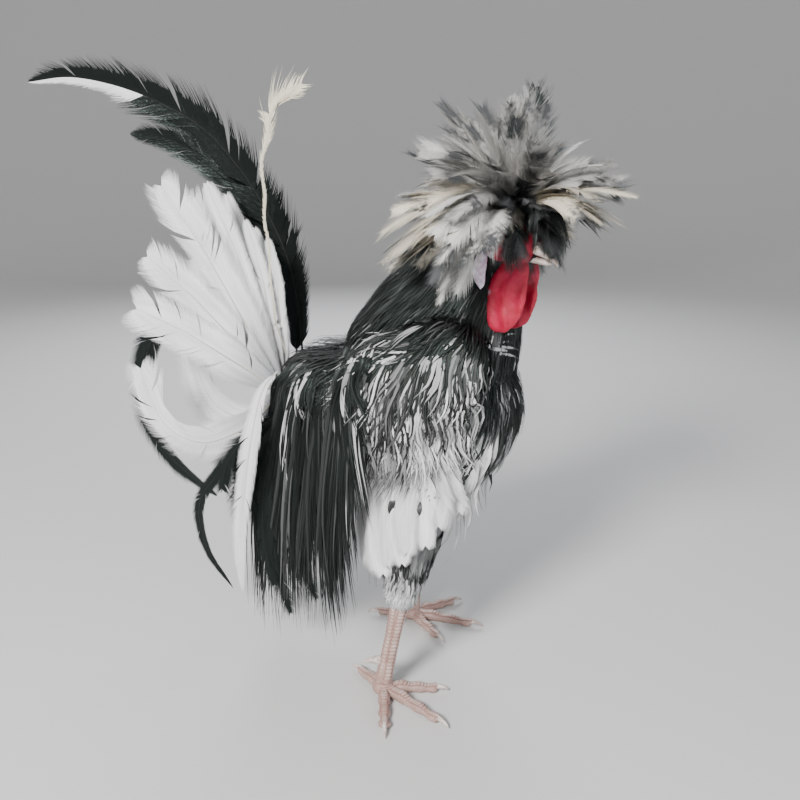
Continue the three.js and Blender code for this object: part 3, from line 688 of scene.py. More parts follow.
class Look:
    """A material with one Principled shader."""

    def __init__(self, name, **constants):
        self.material = bpy.data.materials.new(name)
        self.material.use_nodes = True
        self.tree = self.material.node_tree
        self.shader = next(n for n in self.tree.nodes if n.type == "BSDF_PRINCIPLED")
        for key, value in constants.items():
            self.shader.inputs[key.replace("_", " ")].default_value = value
        self.start = Socket(self.tree, None)

    def value(self, name, output="Vector"):
        """What the mesh carries under that name."""
        node = self.tree.nodes.new("ShaderNodeAttribute")
        node.attribute_name = name
        return Socket(self.tree, node.outputs[output])

    def place(self):
        return self.start.node("ShaderNodeTexCoord", output="Object")

    def noise(self, scale, detail=2.0, where=None):
        inputs = {"Scale": scale, "Detail": detail, "Vector": where or self.place()}
        return self.start.node("ShaderNodeTexNoise", inputs=inputs)

    def connect(self, **sockets):
        for key, socket in sockets.items():
            self.tree.links.new(socket.link, self.shader.inputs[key.replace("_", " ")])

    def bump(self, height, strength, distance):
        inputs = {"Height": height, "Strength": strength, "Distance": distance}
        self.connect(Normal=self.start.node("ShaderNodeBump", inputs=inputs))


BARB_DEPTH = 0.3
SHAFT_COLOUR = (0.5, 0.48, 0.43, 1)


def feather_look(name, pale_shaft, rough=(0.34, 0.6), wander=0.4):
    """Barbs in fine slanted lines, a shaft, and a marked tip, from what each vane carries."""
    look = Look(name, Specular_IOR_Level=0.25)
    look.shader.inputs["Specular Tint"].default_value = (0.8, 1.0, 0.92, 1)
    vane = look.value("vane")
    along, across, share = vane.part(0), vane.part(1), vane.part(2)
    ground = look.value("ground", "Color")
    edge = look.value("ground", "Alpha")
    mark = look.value("mark", "Color")
    wobble = look.noise(260.0, 3.0) - 0.5
    marked = (along + wobble * wander - edge).ramp(-0.1, 0.1)
    colour = blend(marked, ground, mark)
    lengthwise = {0: across * 2.2 + share * 40.0, 1: along * 1.4, 2: share * 90.0}
    streaks = look.noise(2.2, 3.0, look.start.node("ShaderNodeCombineXYZ", inputs=lengthwise))
    strand = (along * 300.0 - across.magnitude() * 40.0 + wobble * 6.0).wave()
    shade = strand * (0.12 * BARB_DEPTH) + streaks * 0.7 + 0.62
    scaled = {0: colour, "Scale": shade}
    tone = look.start.node("ShaderNodeVectorMath", {"operation": "SCALE"}, scaled)
    shaft = 1 - across.magnitude().ramp(0.02, 0.1)
    colour = blend(shaft * pale_shaft, tone, SHAFT_COLOUR)
    grey = look.start.node("ShaderNodeRGBToBW", inputs={0: colour})
    roughness = grey.ramp(0.02, 0.4) * (rough[1] - rough[0]) + rough[0]
    look.connect(Base_Color=colour, Roughness=roughness)
    look.bump(strand * 0.4 + streaks * 2.0, BARB_DEPTH, 0.0008)
    return look.material


def skin_look():
    """Dark down, mottled with grey, that shows between the feathers."""
    look = Look("skin under the feathers", Roughness=0.8)
    mottle = look.noise(60.0, 3.0).ramp(0.42, 0.58)
    look.connect(Base_Color=blend(mottle, (0.02, 0.02, 0.022, 1), (0.16, 0.16, 0.17, 1)))
    return look.material


def face_look():
    """Red face and wattles and pale lobes, by the mask that the face carries."""
    look = Look("face", Subsurface_Weight=0.25, Subsurface_Scale=0.004)
    look.shader.inputs["Subsurface Radius"].default_value = (1.0, 0.3, 0.2)
    lobe = look.value("lobe", "Fac")
    patchy = look.noise(90.0, 4.0)
    red = blend(patchy.ramp(0.35, 0.7), (0.38, 0.004, 0.030, 1), (0.52, 0.012, 0.060, 1))
    fine = look.noise(260.0, 3.0).ramp(0.35, 0.65)
    pale = blend(fine, (0.6, 0.45, 0.62, 1), (0.86, 0.8, 0.9, 1))
    look.connect(Base_Color=blend(lobe, red, pale), Roughness=look.noise(400.0) * 0.2 + 0.45)
    cells = {"Scale": 900.0, "Vector": look.place()}
    grain = look.start.node("ShaderNodeTexVoronoi", inputs=cells)
    look.bump(grain * -1.0 + look.noise(300.0) * 0.6, 0.2, 0.0004)
    return look.material


def leg_look():
    """Pinkish skin and scutes, with painted shade darkening the creases."""
    look = Look("scaly leg skin", Roughness=0.5, Subsurface_Weight=0.12, Subsurface_Scale=0.002)
    crease_shade = look.value("crease_shade", "Fac")
    patchy = look.noise(70.0, 4.0).ramp(0.35, 0.7)
    base = blend(patchy, (0.46, 0.32, 0.28, 1), (0.60, 0.47, 0.43, 1))
    look.connect(Base_Color=blend(crease_shade, base, (0.26, 0.13, 0.11, 1)))
    look.bump(look.noise(700.0, 3.0), 0.3, 0.0004)
    return look.material


def horn_look():
    """Flesh-coloured horn with pale streaks."""
    look = Look("horn", Roughness=0.35)
    streak = look.noise(180.0, 3.0)
    dark, pale = (0.42, 0.33, 0.29, 1), (0.72, 0.64, 0.6, 1)
    look.connect(Base_Color=blend(streak.ramp(0.3, 0.7), dark, pale))
    look.bump(streak, 0.2, 0.0004)
    return look.material


def eye_look():
    """An orange-red iris round a black pupil, under a wet coat."""
    look = Look("eye", Roughness=0.08, Coat_Weight=1.0)
    angle = look.value("angle", "Fac")
    flecks = look.noise(900.0, 3.0).ramp(0.3, 0.7)
    iris = blend(flecks, (0.5, 0.09, 0.02, 1), (0.75, 0.26, 0.06, 1))
    colour = blend(angle.ramp(0.34, 0.40), (0.003, 0.003, 0.003, 1), iris)
    look.connect(Base_Color=blend(angle.ramp(0.78, 0.9), colour, (0.02, 0.008, 0.006, 1)))
    return look.material


# Floor, light and camera

PHOTO_PIXELS = 800
LENS_PIXELS = 800  # the photograph's focal length, as far as its perspective tells
CAMERA_PLACE = (208.6, -642.0, 460.0)
CAMERA_PITCH = 17.0
CAMERA_TURN = 18.0
SENSOR = 36.0
BIRD_MIDDLE = (0, 0, 250)


def add_camera():
    data = bpy.data.cameras.new("camera")
    data.sensor_width = SENSOR
    data.lens = SENSOR * LENS_PIXELS / PHOTO_PIXELS
    data.clip_start = 0.01
    made = bpy.data.objects.new("camera", data)
    made.location = row(CAMERA_PLACE)
    made.rotation_euler = (math.radians(90 - CAMERA_PITCH), 0, math.radians(CAMERA_TURN))
    bpy.context.scene.collection.objects.link(made)
    bpy.context.scene.camera = made


def add_light(name, place, size, power, colour):
    data = bpy.data.lights.new(name, "AREA")
    data.shape = "DISK"
    data.size = size
    data.energy = power
    data.color = colour
    made = bpy.data.objects.new(name, data)
    made.location = row(place)
    aim = Vector(np.array(BIRD_MIDDLE) - np.array(place))
    made.rotation_euler = aim.to_track_quat("-Z", "Y").to_euler()
    bpy.context.scene.collection.objects.link(made)


FLOOR_RADIUS = 2300
SWEEP_RADIUS = 1200
WALL_TOP = 4200
FLOOR_DROP = 0.4  # the floor lies this far under the soles
ROOM_STEPS = 96


def add_room():
    """A pale round studio whose floor curves up into its wall, so that no line shows."""
    profile = [(r, 0) for r in np.linspace(0, FLOOR_RADIUS, 6)[1:]]
    for a in np.linspace(0, math.pi / 2, 12)[1:]:
        out, up = SWEEP_RADIUS * math.sin(a), SWEEP_RADIUS * (1 - math.cos(a))
        profile.append((FLOOR_RADIUS + out, up))
    profile.append((FLOOR_RADIUS + SWEEP_RADIUS, WALL_TOP))
    turn = 2 * math.pi * np.arange(ROOM_STEPS) / ROOM_STEPS
    rings = [np.c_[r * np.cos(turn), r * np.sin(turn), np.full(ROOM_STEPS, z)] for r, z in profile]
    points = np.vstack([[(0, 0, 0)]] + rings) + (0, 0, -FLOOR_DROP)
    k = np.arange(ROOM_STEPS)
    after = (k + 1) % ROOM_STEPS
    fan = np.c_[np.zeros(ROOM_STEPS, int), 1 + k, 1 + after]
    quads = []
    for i in range(len(profile) - 1):
        first, second = 1 + i * ROOM_STEPS, 1 + (i + 1) * ROOM_STEPS
        quads.append(np.c_[first + k, second + k, second + after, first + after])
    room = new_object("studio", points, [fan, np.vstack(quads)])
    look = Look("studio", Roughness=0.9)
    look.shader.inputs["Base Color"].default_value = (0.6, 0.6, 0.6, 1)
    room.data.materials.append(look.material)
    world = bpy.data.worlds.new("world")
    world.use_nodes = True
    sky = world.node_tree.nodes["Background"].inputs
    sky["Color"].default_value = (0.94, 0.97, 1.0, 1)
    sky["Strength"].default_value = 0.42
    bpy.context.scene.world = world
    add_light("key", (-250, -1500, 1250), 0.5, 62, (1.0, 0.98, 0.95))
    add_light("fill", (1500, -700, 700), 1.2, 10, (0.92, 0.96, 1.0))
    add_light("rim", (-700, 1500, 1200), 1.0, 24, (0.95, 0.97, 1.0))


BLACK = np.array([0.0055, 0.0065, 0.0065])
WHITE = np.array([0.76, 0.765, 0.775])
GREY = np.array([0.13, 0.133, 0.14])
UNMARKED = 2.0  # a mark that starts beyond the tip


def colours(draw, tone, edge, tipped):
    """Ground and mark colours for many feathers, with the place where the mark starts as alpha."""
    tone = np.clip(np.asarray(tone, float)[:, None] + draw.normal(0, 0.08, (len(tone), 1)), 0, 1)
    ground = lerp(BLACK, lerp(GREY, WHITE, tone), np.minimum(1, tone * 2.2))
    ground = ground * draw.uniform(0.8, 1.15, tone.shape)
    pale = draw.random(tone.shape) < 0.25
    on_pale = lerp(BLACK * 2, GREY, draw.random(tone.shape))
    mark = np.where(tone > 0.4, on_pale, np.where(pale, WHITE * 0.6, BLACK))
    marked = draw.random(len(tone)) < tipped
    start = np.where(marked, draw.uniform(*edge, len(tone)), UNMARKED)
    return np.c_[ground, start], np.c_[mark, np.ones(len(tone))]


def around_axis(points, origin, axis, span):
    """Where roots lie on an unwrap of their surface: the angle round an axis and the way along."""
    axis = unit(axis)
    flat = np.asarray(points) - origin
    first = unit(np.cross(axis, [0.13, 0.21, 0.97]))
    second = np.cross(axis, first)
    angle = np.arctan2(flat @ second, flat @ first) / (2 * np.pi)
    return 0.002 + 0.99 * np.c_[angle + 0.5, np.clip(flat @ axis / span + 0.5, 0, 1)]


def ball(centre, half, around=24, rings=16):
    """A squashed ball as points and faces, its half sizes along the three axes."""
    turns = np.linspace(0, math.pi, rings)
    stations = [(-math.cos(a), 0, 0, *(math.sin(a),) * 3) for a in turns]
    points, faces = loft_rings(stations, around)
    return points * half + centre, faces


def ring_shape(centre, axis, radius, tube):
    """A closed ring about an axis."""
    around, sides = 28, 10
    axis = unit(axis)
    first = unit(np.cross(axis, UP))
    second = np.cross(axis, first)
    u = 2 * np.pi * np.arange(around)[:, None, None] / around
    v = 2 * np.pi * np.arange(sides)[None, :, None] / sides
    spoke = first * np.cos(u) + second * np.sin(u)
    points = np.array(centre) + spoke * (radius + tube * np.cos(v)) + axis * tube * np.sin(v)
    i, k = np.meshgrid(np.arange(around), np.arange(sides), indexing="ij")
    a, b = i * sides + k, i * sides + (k + 1) % sides
    c, d = ((i + 1) % around * sides + column for column in (k, (k + 1) % sides))
    return points.reshape(-1, 3), np.stack([a, c, d, b], axis=-1).reshape(-1, 4)


def rough_up(made, layers):
    """Pushes points along their normals by layers of noise, each an amount and a size."""
    points, normals = points_of(made), normals_of(made)
    push = [sum(amount * noise.noise(Vector(p / size)) for amount, size in layers) for p in points]
    move_points(made, points + normals * np.array(push)[:, None])


def near_curve(points, stations, reach):
    """1 on a curve through the stations and 0 beyond its reach."""
    line = along_curve([s[:3] for s in stations], 24)
    gap = np.linalg.norm(points[:, None] - line[None], axis=2).min(axis=1)
    return 1 - smooth_step(reach * 0.8, reach, gap)


SKIN_DEPTH = 0.7  # the bare skin lies this far out from the skull
LID_TUBE = 1.6
FACE_PARTS = (
    (WATTLE, 36, 60, ALONG_X), (LOBE, 28, 40, ALONG_X), (COMB_HORN, 16, 20, ALONG_Y),
    (CHEEK, 28, 30, ALONG_Y),
)


def face(materials):
    """Bare red skin with wattles, lobes, horns and lids as one surface, then eyes and beak."""
    front = [(-14, 0, 2, 0, 0, 0)]
    front += [(*s[:3], *(r and r + SKIN_DEPTH for r in s[3:])) for s in SKULL if s[0] >= -10]
    shapes = [loft(front, 36, 40)]
    for side in SIDES.values():
        for stations, around, rings, across in FACE_PARTS:
            shapes.append(loft(mirrored(stations, side), around, rings, across))
        eye = np.array(EYE_PLACE) * (1, side, 1)
        lid = eye + (0.3, side * 2.1, 0)
        shapes.append(ring_shape(lid, (0.15, side, 0.05), EYE_RADIUS + 0.9, LID_TUBE))
    made = one_skin("face", [headed(shape) for shape in shapes], 0.8, rounds=5)
    local = (points_of(made) - HEAD_CENTRE) @ HEAD_TURN
    lobe = np.maximum(near_curve(local, LOBE, 9), near_curve(local * (1, -1, 1), LOBE, 9))
    hang = smooth_step(-14, -30, local[:, 2]) * (1 - lobe)
    fold = np.sin(local[:, 0] * 0.42 + np.sin(local[:, 2] * 0.11) * 1.4) * 0.8 * hang
    none = np.zeros(len(fold))
    move_points(made, points_of(made) + head_aim(np.c_[none, fold, none]))
    rough_up(made, [(1.0, 12.0), (0.35, 4.0), (0.2, 1.7)])
    set_values(made.data, "lobe", "FLOAT", lobe)
    parts = [f"{part}_{side}" for part in ("wattle", "comb", "earlobe") for side in SIDES]
    settle(made, "red_flesh", materials["flesh"], ["head", *parts])
    for name, side in SIDES.items():
        eye_ball(name, side, materials["eye"])
    nostrils = [ball((20, side * 4.6, 0.4), (4.2, 2.2, 2.4)) for side in SIDES.values()]
    for name, stations, more in (("upper", UPPER_BEAK, nostrils), ("lower", LOWER_BEAK, [])):
        shapes = [headed(shape) for shape in [loft(stations, 40, 50), *more]]
        beak = one_skin(name + "_beak_horn", shapes, 0.5, rounds=3)
        rough_up(beak, [(0.25, 4.0), (0.1, 1.2)])
        settle(beak, "horn", materials["horn"], ["beak_" + name])


def eye_ball(name, side, material):
    """An eye whose points carry their angle from its middle."""
    centre = np.array(EYE_PLACE) * (1, side, 1)
    look_out = unit((0.2, side, 0.05))
    points, faces = ball((0, 0, 0), (1, 1, 1), 40, 40)
    turn = Vector((1, 0, 0)).rotation_difference(Vector(look_out)).to_matrix()
    angle = np.arccos(np.clip(points[:, 0], -1, 1))
    placed = points @ np.array(turn).T * EYE_RADIUS * (1, 0.8, 1) + centre
    made = new_object("eye_ball_" + name, on_head(placed), [faces])
    set_values(made.data, "angle", "FLOAT", angle)
    settle(made, "eye", material, ["eye_" + name])


SHANK_RADIUS = 6.6
TOE_RADIUS = 4.8
ANKLE_HEIGHT = 13
CLAW_LENGTH = 13
SHANK_SCUTES = 21
TOES = {"inner": (42, 46), "middle": (0, 62), "outer": (-46, 50), "hind": (172, 34)}
SPUR = [
    (2, 0, 33, 0), (5, 1, 32, 4), (12, 3, 29, 3.4), (19, 5, 25.5, 2.2), (24, 6.3, 22, 1),
    (26, 6.8, 20.5, 0),
]
SHANK_STATIONS = [
    (-0.14, 0), (-0.1, 1.3), (0.0, 1.28), (0.12, 1.08), (0.4, 0.96), (0.75, 0.98), (0.92, 1.12),
    (1.0, 1.15), (1.15, 0),
]


# The columns of scutes on a shank: their angle from the front, how late they start, as a share of
# a scute, and their half sizes. Each column has another on the other side, half a scute later.
SCUTE_COLUMNS = [
    (27, 0.0, (2.7, 3.9, 1.3)), (158, 0.25, (2.4, 3.0, 1.2)), (88, 0.4, (2.2, 2.7, 1.0)),
]
SHANK_SWELL = {0: 1.28, 0.12: 1.08, 0.4: 0.96, 0.75: 0.98, 1: 1.15}
# how much painted crease shade the bare skin round the scutes gets
SKIN_CREASE_SHADE = 0.45


def plates(name, scutes, material):
    """Overlapping scutes: each a place, its way along, its outward way and three half sizes."""
    points, faces = [], []
    shape, quads = ball((0, 0, 0), (1, 1, 1), 14, 9)
    for number, (place, along, out, half) in enumerate(scutes):
        along = unit(along)
        side = unit(np.cross(out, along))
        out = np.cross(along, side)
        axes = unit(along + out * 0.1), side, out
        x, y, z = (shape[:, k : k + 1] * axes[k] * half[k] for k in range(3))
        points.append(x + y + z + place)
        faces.append(quads + number * len(shape))
    # painted shade: each scute is painted darker towards its rim
    crease_shade = smooth_step(0.55, 1.0, np.hypot(shape[:, 0], shape[:, 1]))
    made = new_object(name, np.vstack(points), [np.vstack(faces)])
    set_values(made.data, "crease_shade", "FLOAT", np.tile(crease_shade, len(scutes)))
    settle(made, "leg_skin", material)


def shank_scutes(hock, ankle, heading):
    """Columns of scutes down the front, the back and the sides of a shank."""
    down = unit(ankle - hock)
    front = np.array([math.cos(heading), math.sin(heading), 0])
    front = unit(front - down * (front @ down))
    across = np.cross(down, front)
    scutes = []
    for k in range(SHANK_SCUTES):
        t = (k + 0.5) / SHANK_SCUTES
        width = SHANK_RADIUS * np.interp(t, list(SHANK_SWELL), list(SHANK_SWELL.values()))
        for (turn, late, half), side in product(SCUTE_COLUMNS, (1, -1)):
            a = math.radians(turn * side)
            out = front * math.cos(a) + across * math.sin(a)
            step = late if side > 0 else late + 0.5
            spot = lerp(hock, ankle, t + step / SHANK_SCUTES) + out * (width - 0.75)
            scutes.append((spot, down, out, half))
    return scutes


def toe_shapes(foot, way, length, joints):
    """A toe with swollen joints and pads under it, and the scutes along its top."""
    steps = np.linspace(0, 1, 26)
    swell = 1 + 0.09 * np.cos(2 * np.pi * joints * steps)
    thick = lerp(1.18, 0.74, steps) * TOE_RADIUS * swell
    rod = [(*(foot + (0, 0, 5)), 0, 0, 0)]
    for t, w in zip(steps, thick):
        rod.append((*(foot + way * lerp(2, length, t) + (0, 0, w * 0.93 + 0.2)), w, w, w * 0.93))
    rod.append((*(foot + way * (length + 2) + (0, 0, 3.6)), 0, 0, 0))
    shapes = [loft(rod, 24, 60, across=np.cross(UP, way))]
    for share in (0.38, 0.68, 0.93)[:joints]:
        shapes.append(ball(foot + way * length * share + (0, 0, 2.9), (6.0, 4.6, 2.8)))
    count = int(length / 3.1)
    scutes = []
    for k in range(count):
        t = (k + 1.6) / (count + 0.6)
        w = np.interp(t, steps, thick)
        spot = foot + way * lerp(2, length, t) + (0, 0, w * 1.86 - 0.55)
        scutes.append((spot, way, UP, (2.5, w * 0.8, 1.15)))
    return shapes, scutes


def above_floor(made):
    """Lifts every point that is under the floor, and gives all the points."""
    points = points_of(made)
    points[:, 2] = np.maximum(points[:, 2], 0.0)
    move_points(made, points)
    return points


def legs(materials):
    """Scaly shanks, toes, claws and spurs."""
    for name, side in SIDES.items():
        leg = LEGS[name]
        foot = np.array([*leg["foot"], 0.0])
        hock = np.array(leg["hock"], float)
        ankle = foot + (0, 0, ANKLE_HEIGHT)
        heading = math.radians(leg["heading"])
        shank = [(*lerp(hock, ankle, t), *[SHANK_RADIUS * w] * 3) for t, w in SHANK_STATIONS]
        shapes = [loft(shank, 28, 60), ball(foot + (0, 0, 6), (10.5, 10.5, 7))]
        scutes = shank_scutes(hock, ankle, heading)
        for toe, (turn, length) in TOES.items():
            aim = heading - side * math.radians(turn)
            way = np.array([math.cos(aim), math.sin(aim), 0])
            more_shapes, more_scutes = toe_shapes(foot, way, length, 2 if toe == "hind" else 3)
            shapes += more_shapes
            scutes += more_scutes
            claw(name, toe, foot, way, length, materials["horn"])
        base = one_skin("leg_skin_" + name, shapes, 1.0, rounds=4)
        above_floor(base)
        rough_up(base, [(0.35, 2.2), (0.2, 1.1)])
        points = above_floor(base)
        # painted shade: the skin round and between the scutes is painted a little darker throughout
        set_values(base.data, "crease_shade", "FLOAT", np.full(len(points), SKIN_CREASE_SHADE))
        settle(base, "leg_skin", materials["leg"], ["shank_" + name, "foot_" + name])
        plates("scutes_" + name, scutes, materials["leg"])
        origin = foot[0] + (hock[0] - foot[0]) * 0.25
        spur = [(origin - x, foot[1] - side * y, z, w, w, w) for x, y, z, w in SPUR]
        horn_piece("spur_horn_" + name, spur, materials["horn"], ["spur_" + name])


CLAW = [
    (-4, 5, 0), (-1.5, 5.2, 2.5), (3, 5.4, 2.3), (7.5, 4.4, 1.7), (11, 2.8, 1.0),
    (CLAW_LENGTH, 1.0, 0),
]


def claw(name, toe, foot, way, length, material):
    tips = [(*(foot + way * (length + d) + (0, 0, z)), w * 0.85, w, w) for d, z, w in CLAW]
    across = np.cross(UP, way)
    horn_piece(f"claw_horn_{name}_{toe}", tips, material, [f"claw_{name}_{toe}"], across)


def horn_piece(name, stations, material, replaces, across=ALONG_Y):
    points, faces = loft(stations, 20, 24, across)
    settle(new_object(name, points, [faces]), "horn", material, replaces)


CONTOUR_ROWS = 6
BODY_AXIS = (1, 0, 0.3)
BODY_CENTRE = np.array([0, 0, 260.0])


def contour_coat(name, material, bulk, tree, seed, keep, aim_at, gap, length, width, tone, lift,
                 strands, **marks):
    """Small overlapping feathers over part of the body."""
    coat = Coat(seed)
    spots, normals = scatter(bulk, gap, keep, coat.draw)
    spines, faces, tones = [], [], []
    for spot, normal in zip(spots, normals):
        lie = aim_at(spot)
        swirl = np.array([noise.noise(Vector(spot / 30 + k * 7.7)) for k in range(3)])
        aim = lie + swirl * 0.5 + coat.draw.normal(0, 0.06, 3)
        aim = aim - normal * (aim @ normal)
        reach = length(spot) * coat.draw.uniform(0.8, 1.2)
        rise = lift[1] * coat.draw.uniform(0.7, 1.2)
        spine, face = drape(tree, spot, unit(aim), reach, CONTOUR_ROWS, lift[0], rise)
        spines.append(spine)
        faces.append(face)
        tones.append(tone(spot, lie))
    widths = np.array([width(s) for s in spots]) * coat.draw.uniform(0.85, 1.15, len(spots))
    patch = around_axis(spots, BODY_CENTRE, BODY_AXIS, 420)
    coat.soften(spines, faces, widths, lance, 0.5, tones, patch, strands, 0.12, wave=0.04, **marks)
    coat.finish(name, "mottled_feather", material)


def streak(spot, aim, wide=15.0, long=60.0):
    """From about -1 to 1, changing slowly along the lie of the feathers and fast across it."""
    spot, aim = np.asarray(spot, float), unit(aim)
    way = spot @ aim
    return noise.noise(Vector((spot - aim * way) / wide + aim * way / long)) * 1.6


def plumage_tone(spot, aim):
    """How pale the feathers are at a place on the body, from 0 to 1, in streaks along their lie."""
    x, _, z = spot
    pale = 0.48
    pale -= 0.5 * smooth_step(290, 335, z)  # dark below the neck
    pale -= 0.45 * smooth_step(-12, -45, x)  # dark saddle
    pale += 0.28 * smooth_step(-60, -20, x) * smooth_step(285, 305, z)  # pale streaks on the back
    pale += 0.35 * smooth_step(235, 180, z) * smooth_step(-10, 25, x)  # pale lower wing and flank
    pale -= 0.25 * smooth_step(75, 95, x)  # darker breast
    streaks = 0.75 * streak(spot, aim) + 0.2 * streak(spot, aim, 5.0, 40.0)
    return smooth_step(0.24, 0.82, pale + streaks)


def body_aim(spot):
    """Feathers lie backwards on the body and downwards on the breast."""
    back, down = np.array([-1.0, 0, -0.25]), np.array([-0.35, 0, -1.0])
    return lerp(back, down, smooth_step(40, 95, spot[0]))


def body_coat(bulk, tree, material):
    """Mottled feathers wherever no wing, saddle, thigh or neck hackle covers them."""

    def keep(spot, normal):
        x, y, z = spot
        under_saddle = x < -28 and z < 286 and abs(y) > 30
        under_wing = -22 < x < 72 and 190 < z < 296 and abs(y) > 54
        under = z < 160 or (z < 206 and abs(y) > 20 and -16 < x < 76)
        return -88 < x and z < 330 and not (under or under_saddle or under_wing)

    contour_coat(
        "body_coat", material, bulk, tree, 21, keep, body_aim, lambda s: 5.3, lambda s: 46.0,
        lambda s: 9.5, plumage_tone, (0.4, 3.2), 4, edge=(0.5, 1.0), tipped=0.4,
    )


def thigh_coat(bulk, tree, material):
    """Dark feathers on the thigh, and short pale ones over the hock."""

    def tone(spot, aim):
        return 0.08 + 0.75 * smooth_step(140, 118, spot[2]) + 0.35 * streak(spot, aim, 6, 20)

    contour_coat(
        "thigh_coat", material, bulk, tree, 22,
        lambda s, n: 84 < s[2] < 158, lambda s: np.array([-0.15, 0, -1.0]),
        lambda s: lerp(2.7, 4.6, smooth_step(95, 140, s[2])),
        lambda s: lerp(13.0, 28.0, smooth_step(92, 140, s[2])),
        lambda s: lerp(4.5, 9.0, smooth_step(95, 140, s[2])),
        tone, (0.3, 2.2), 3, edge=(0.5, 1.0), tipped=0.3,
    )


HACKLE_LINE = along_curve([s[:3] for s in NECK[1:7]], 40)
HACKLE_ROWS = 8


def neck_hackles(bulk, tree, material):
    """Long pointed feathers that hang from the neck over the shoulders and back."""
    coat = Coat(31)
    low, high = HACKLE_LINE[0], HACKLE_LINE[-1]
    axis = unit(high - low)

    def way(spot):
        return (spot - low) @ axis / np.linalg.norm(high - low)

    def keep(spot, normal):
        return 0.05 < way(spot) < 1.12 and spot[2] > 285 and normal @ axis < 0.75

    def gap(spot):
        return lerp(5.4, 3.6, np.clip(way(spot), 0, 1))

    spots, normals = scatter(bulk, gap, keep, coat.draw)
    spines, faces = [], []
    for spot, normal in zip(spots, normals):
        t = np.clip(way(spot), 0, 1)
        reach = lerp(112, 26, t**0.8) * coat.draw.uniform(0.75, 1.15)
        aim = -axis + np.array([-0.25, 0, -0.1]) + coat.draw.normal(0, 0.07, 3)
        aim = unit(aim - normal * (aim @ normal))
        spine, face = drape(tree, spot, aim, reach, HACKLE_ROWS, 0.6, lerp(7.5, 3.0, t))
        spines.append(spine)
        faces.append(face)
    width = coat.draw.uniform(5.0, 7.6, len(spots))
    tones = [
        0.6 * smooth_step(0.55, 0.95, streak(s, -axis, 5, 60)) * smooth_step(370, 320, s[2])
        for s in spots
    ]
    patch = around_axis(spots, low, axis, 300)
    marks = {"edge": (0.6, 1.0), "tipped": 0.1}
    coat.soften(spines, faces, width, spear, 0.6, tones, patch, 3, 0.05, **marks)
    coat.finish("neck_hackles", "black_feather", material)


SADDLE_TOP = 312
SADDLE_LOCKS = 15
SADDLE_ROWS = 13
SADDLE_BOTTOM = 12  # no tip hangs lower
SADDLE_FALL = 45  # no feather falls less
# Each tier from the lowest up: how many feathers, where they spring and end along the body, how
# low their tips hang, how far they stand off, and how near to the back's middle they spring.
SADDLE_TIERS = [
    (130, (-100, -8), (-140, -16), (-12, 44), 1.4, 0.45),
    (120, (-100, -6), (-132, -12), (22, 98), 2.6, 0.65),
    (120, (-98, -4), (-126, -6), (92, 160), 3.8, 0.82),
    (110, (-96, 0), (-116, 2), (165, 225), 5.0, 0.94),
    (80, (-92, 4), (-104, 8), (220, 262), 6.0, 1.0),
]


def hanging_spine(tree, side, xs, zs, sway, phase, lift):
    """A wavy spine that falls over the flank and then hangs free, with its outward faces."""
    y, spine = 0.0, []
    for t in np.linspace(0, 1, SADDLE_ROWS):
        swing = (sway + 3 * math.sin(6 * t + phase)) * t
        x = lerp(*xs, t**0.8) - 6 * math.sin(math.pi * t) + swing
        z = lerp(*zs, t**1.25)
        y = max(y, side_of(tree, x, z, side) or 0.0)
        flare = (2.5 * math.sin(5 * t + 2 * phase) + 1.5) * t * t
        spine.append((x, side * (y + flare + lift * min(1, 0.2 + 4 * t)), z))
    spine = np.array(spine)
    for _ in range(3):
        spine[1:-1, 1] = (spine[:-2, 1] + 2 * spine[1:-1, 1] + spine[2:, 1]) / 4
    tilt = smooth_step(300, 255, spine[:, 2:3])
    face = np.array([0.05, side, 0.1]) * tilt + np.array([0, side * 0.5, 1.0]) * (1 - tilt)
    return spine, unit(face)


def saddle_hackles(tree, name, side, material):
    """Very long narrow glossy feathers from the back, down each flank, gathered in locks."""
    coat = Coat(41 + side)
    spines, faces = [], []
    for level, (count, spring, end, low, off, line) in enumerate(SADDLE_TIERS):
        pull = coat.draw.normal(0, 5, SADDLE_LOCKS + 1)
        drop = coat.draw.uniform(-6, 30, SADDLE_LOCKS + 1)
        for k in range(count):
            share = (k + coat.draw.random()) / count
            lock = int(share * SADDLE_LOCKS + 0.5)
            gathered = lerp(share, lock / SADDLE_LOCKS, 0.55)
            x0 = lerp(*spring, share)
            x1 = lerp(*end, gathered) + pull[lock] + coat.draw.normal(0, 2)
            above = tree.ray_cast(Vector((x0, side * 5, 500)), Vector((0, 0, -1)))[0].z
            z0 = lerp(262, min(SADDLE_TOP, above), line * coat.draw.uniform(0.75, 1.0))
            z1 = lerp(*low, share) + drop[lock] + coat.draw.exponential(16)
            z1 = min(max(z1, SADDLE_BOTTOM), z0 - SADDLE_FALL)
            sway = coat.draw.normal(0, 2)
            phase = noise.noise(Vector((x0 / 16, level * 3.7, side))) * 7
            lift = off + 1.2 * coat.draw.random()
            spine, face = hanging_spine(tree, side, (x0, x1), (z0, z1), sway, phase, lift)
            spines.append(spine)
            faces.append(face)
    count = len(spines)
    spines = np.array(spines)
    lean = coat.draw.normal(0, 0.35, count)
    faces = unit(np.array(faces) + np.c_[lean, np.zeros(count), np.zeros(count)][:, None])
    width = coat.draw.uniform(6.0, 9.0, count)
    # pale strands in the saddle: partly real white strands, partly painted glints on the black
    pale = [smooth_step(0.55, 0.85, streak(p[8], (0, 0, -1), 7, 70)) * 0.8 for p in spines]
    pale = np.array(pale) * (spines[:, 0, 0] > -75)
    patch = around_axis(spines[:, 0], np.array([-60, 0, 280.0]), ALONG_X, 200)
    marks = {"edge": (0.5, 1.0), "tipped": 0.08}
    coat.soften(spines, faces, width, spear, 0.7, pale, patch, 3, 0.012, 0.008, **marks)
    coat.finish("saddle_" + name + "_coat", "black_feather", material, ["saddle_" + name])


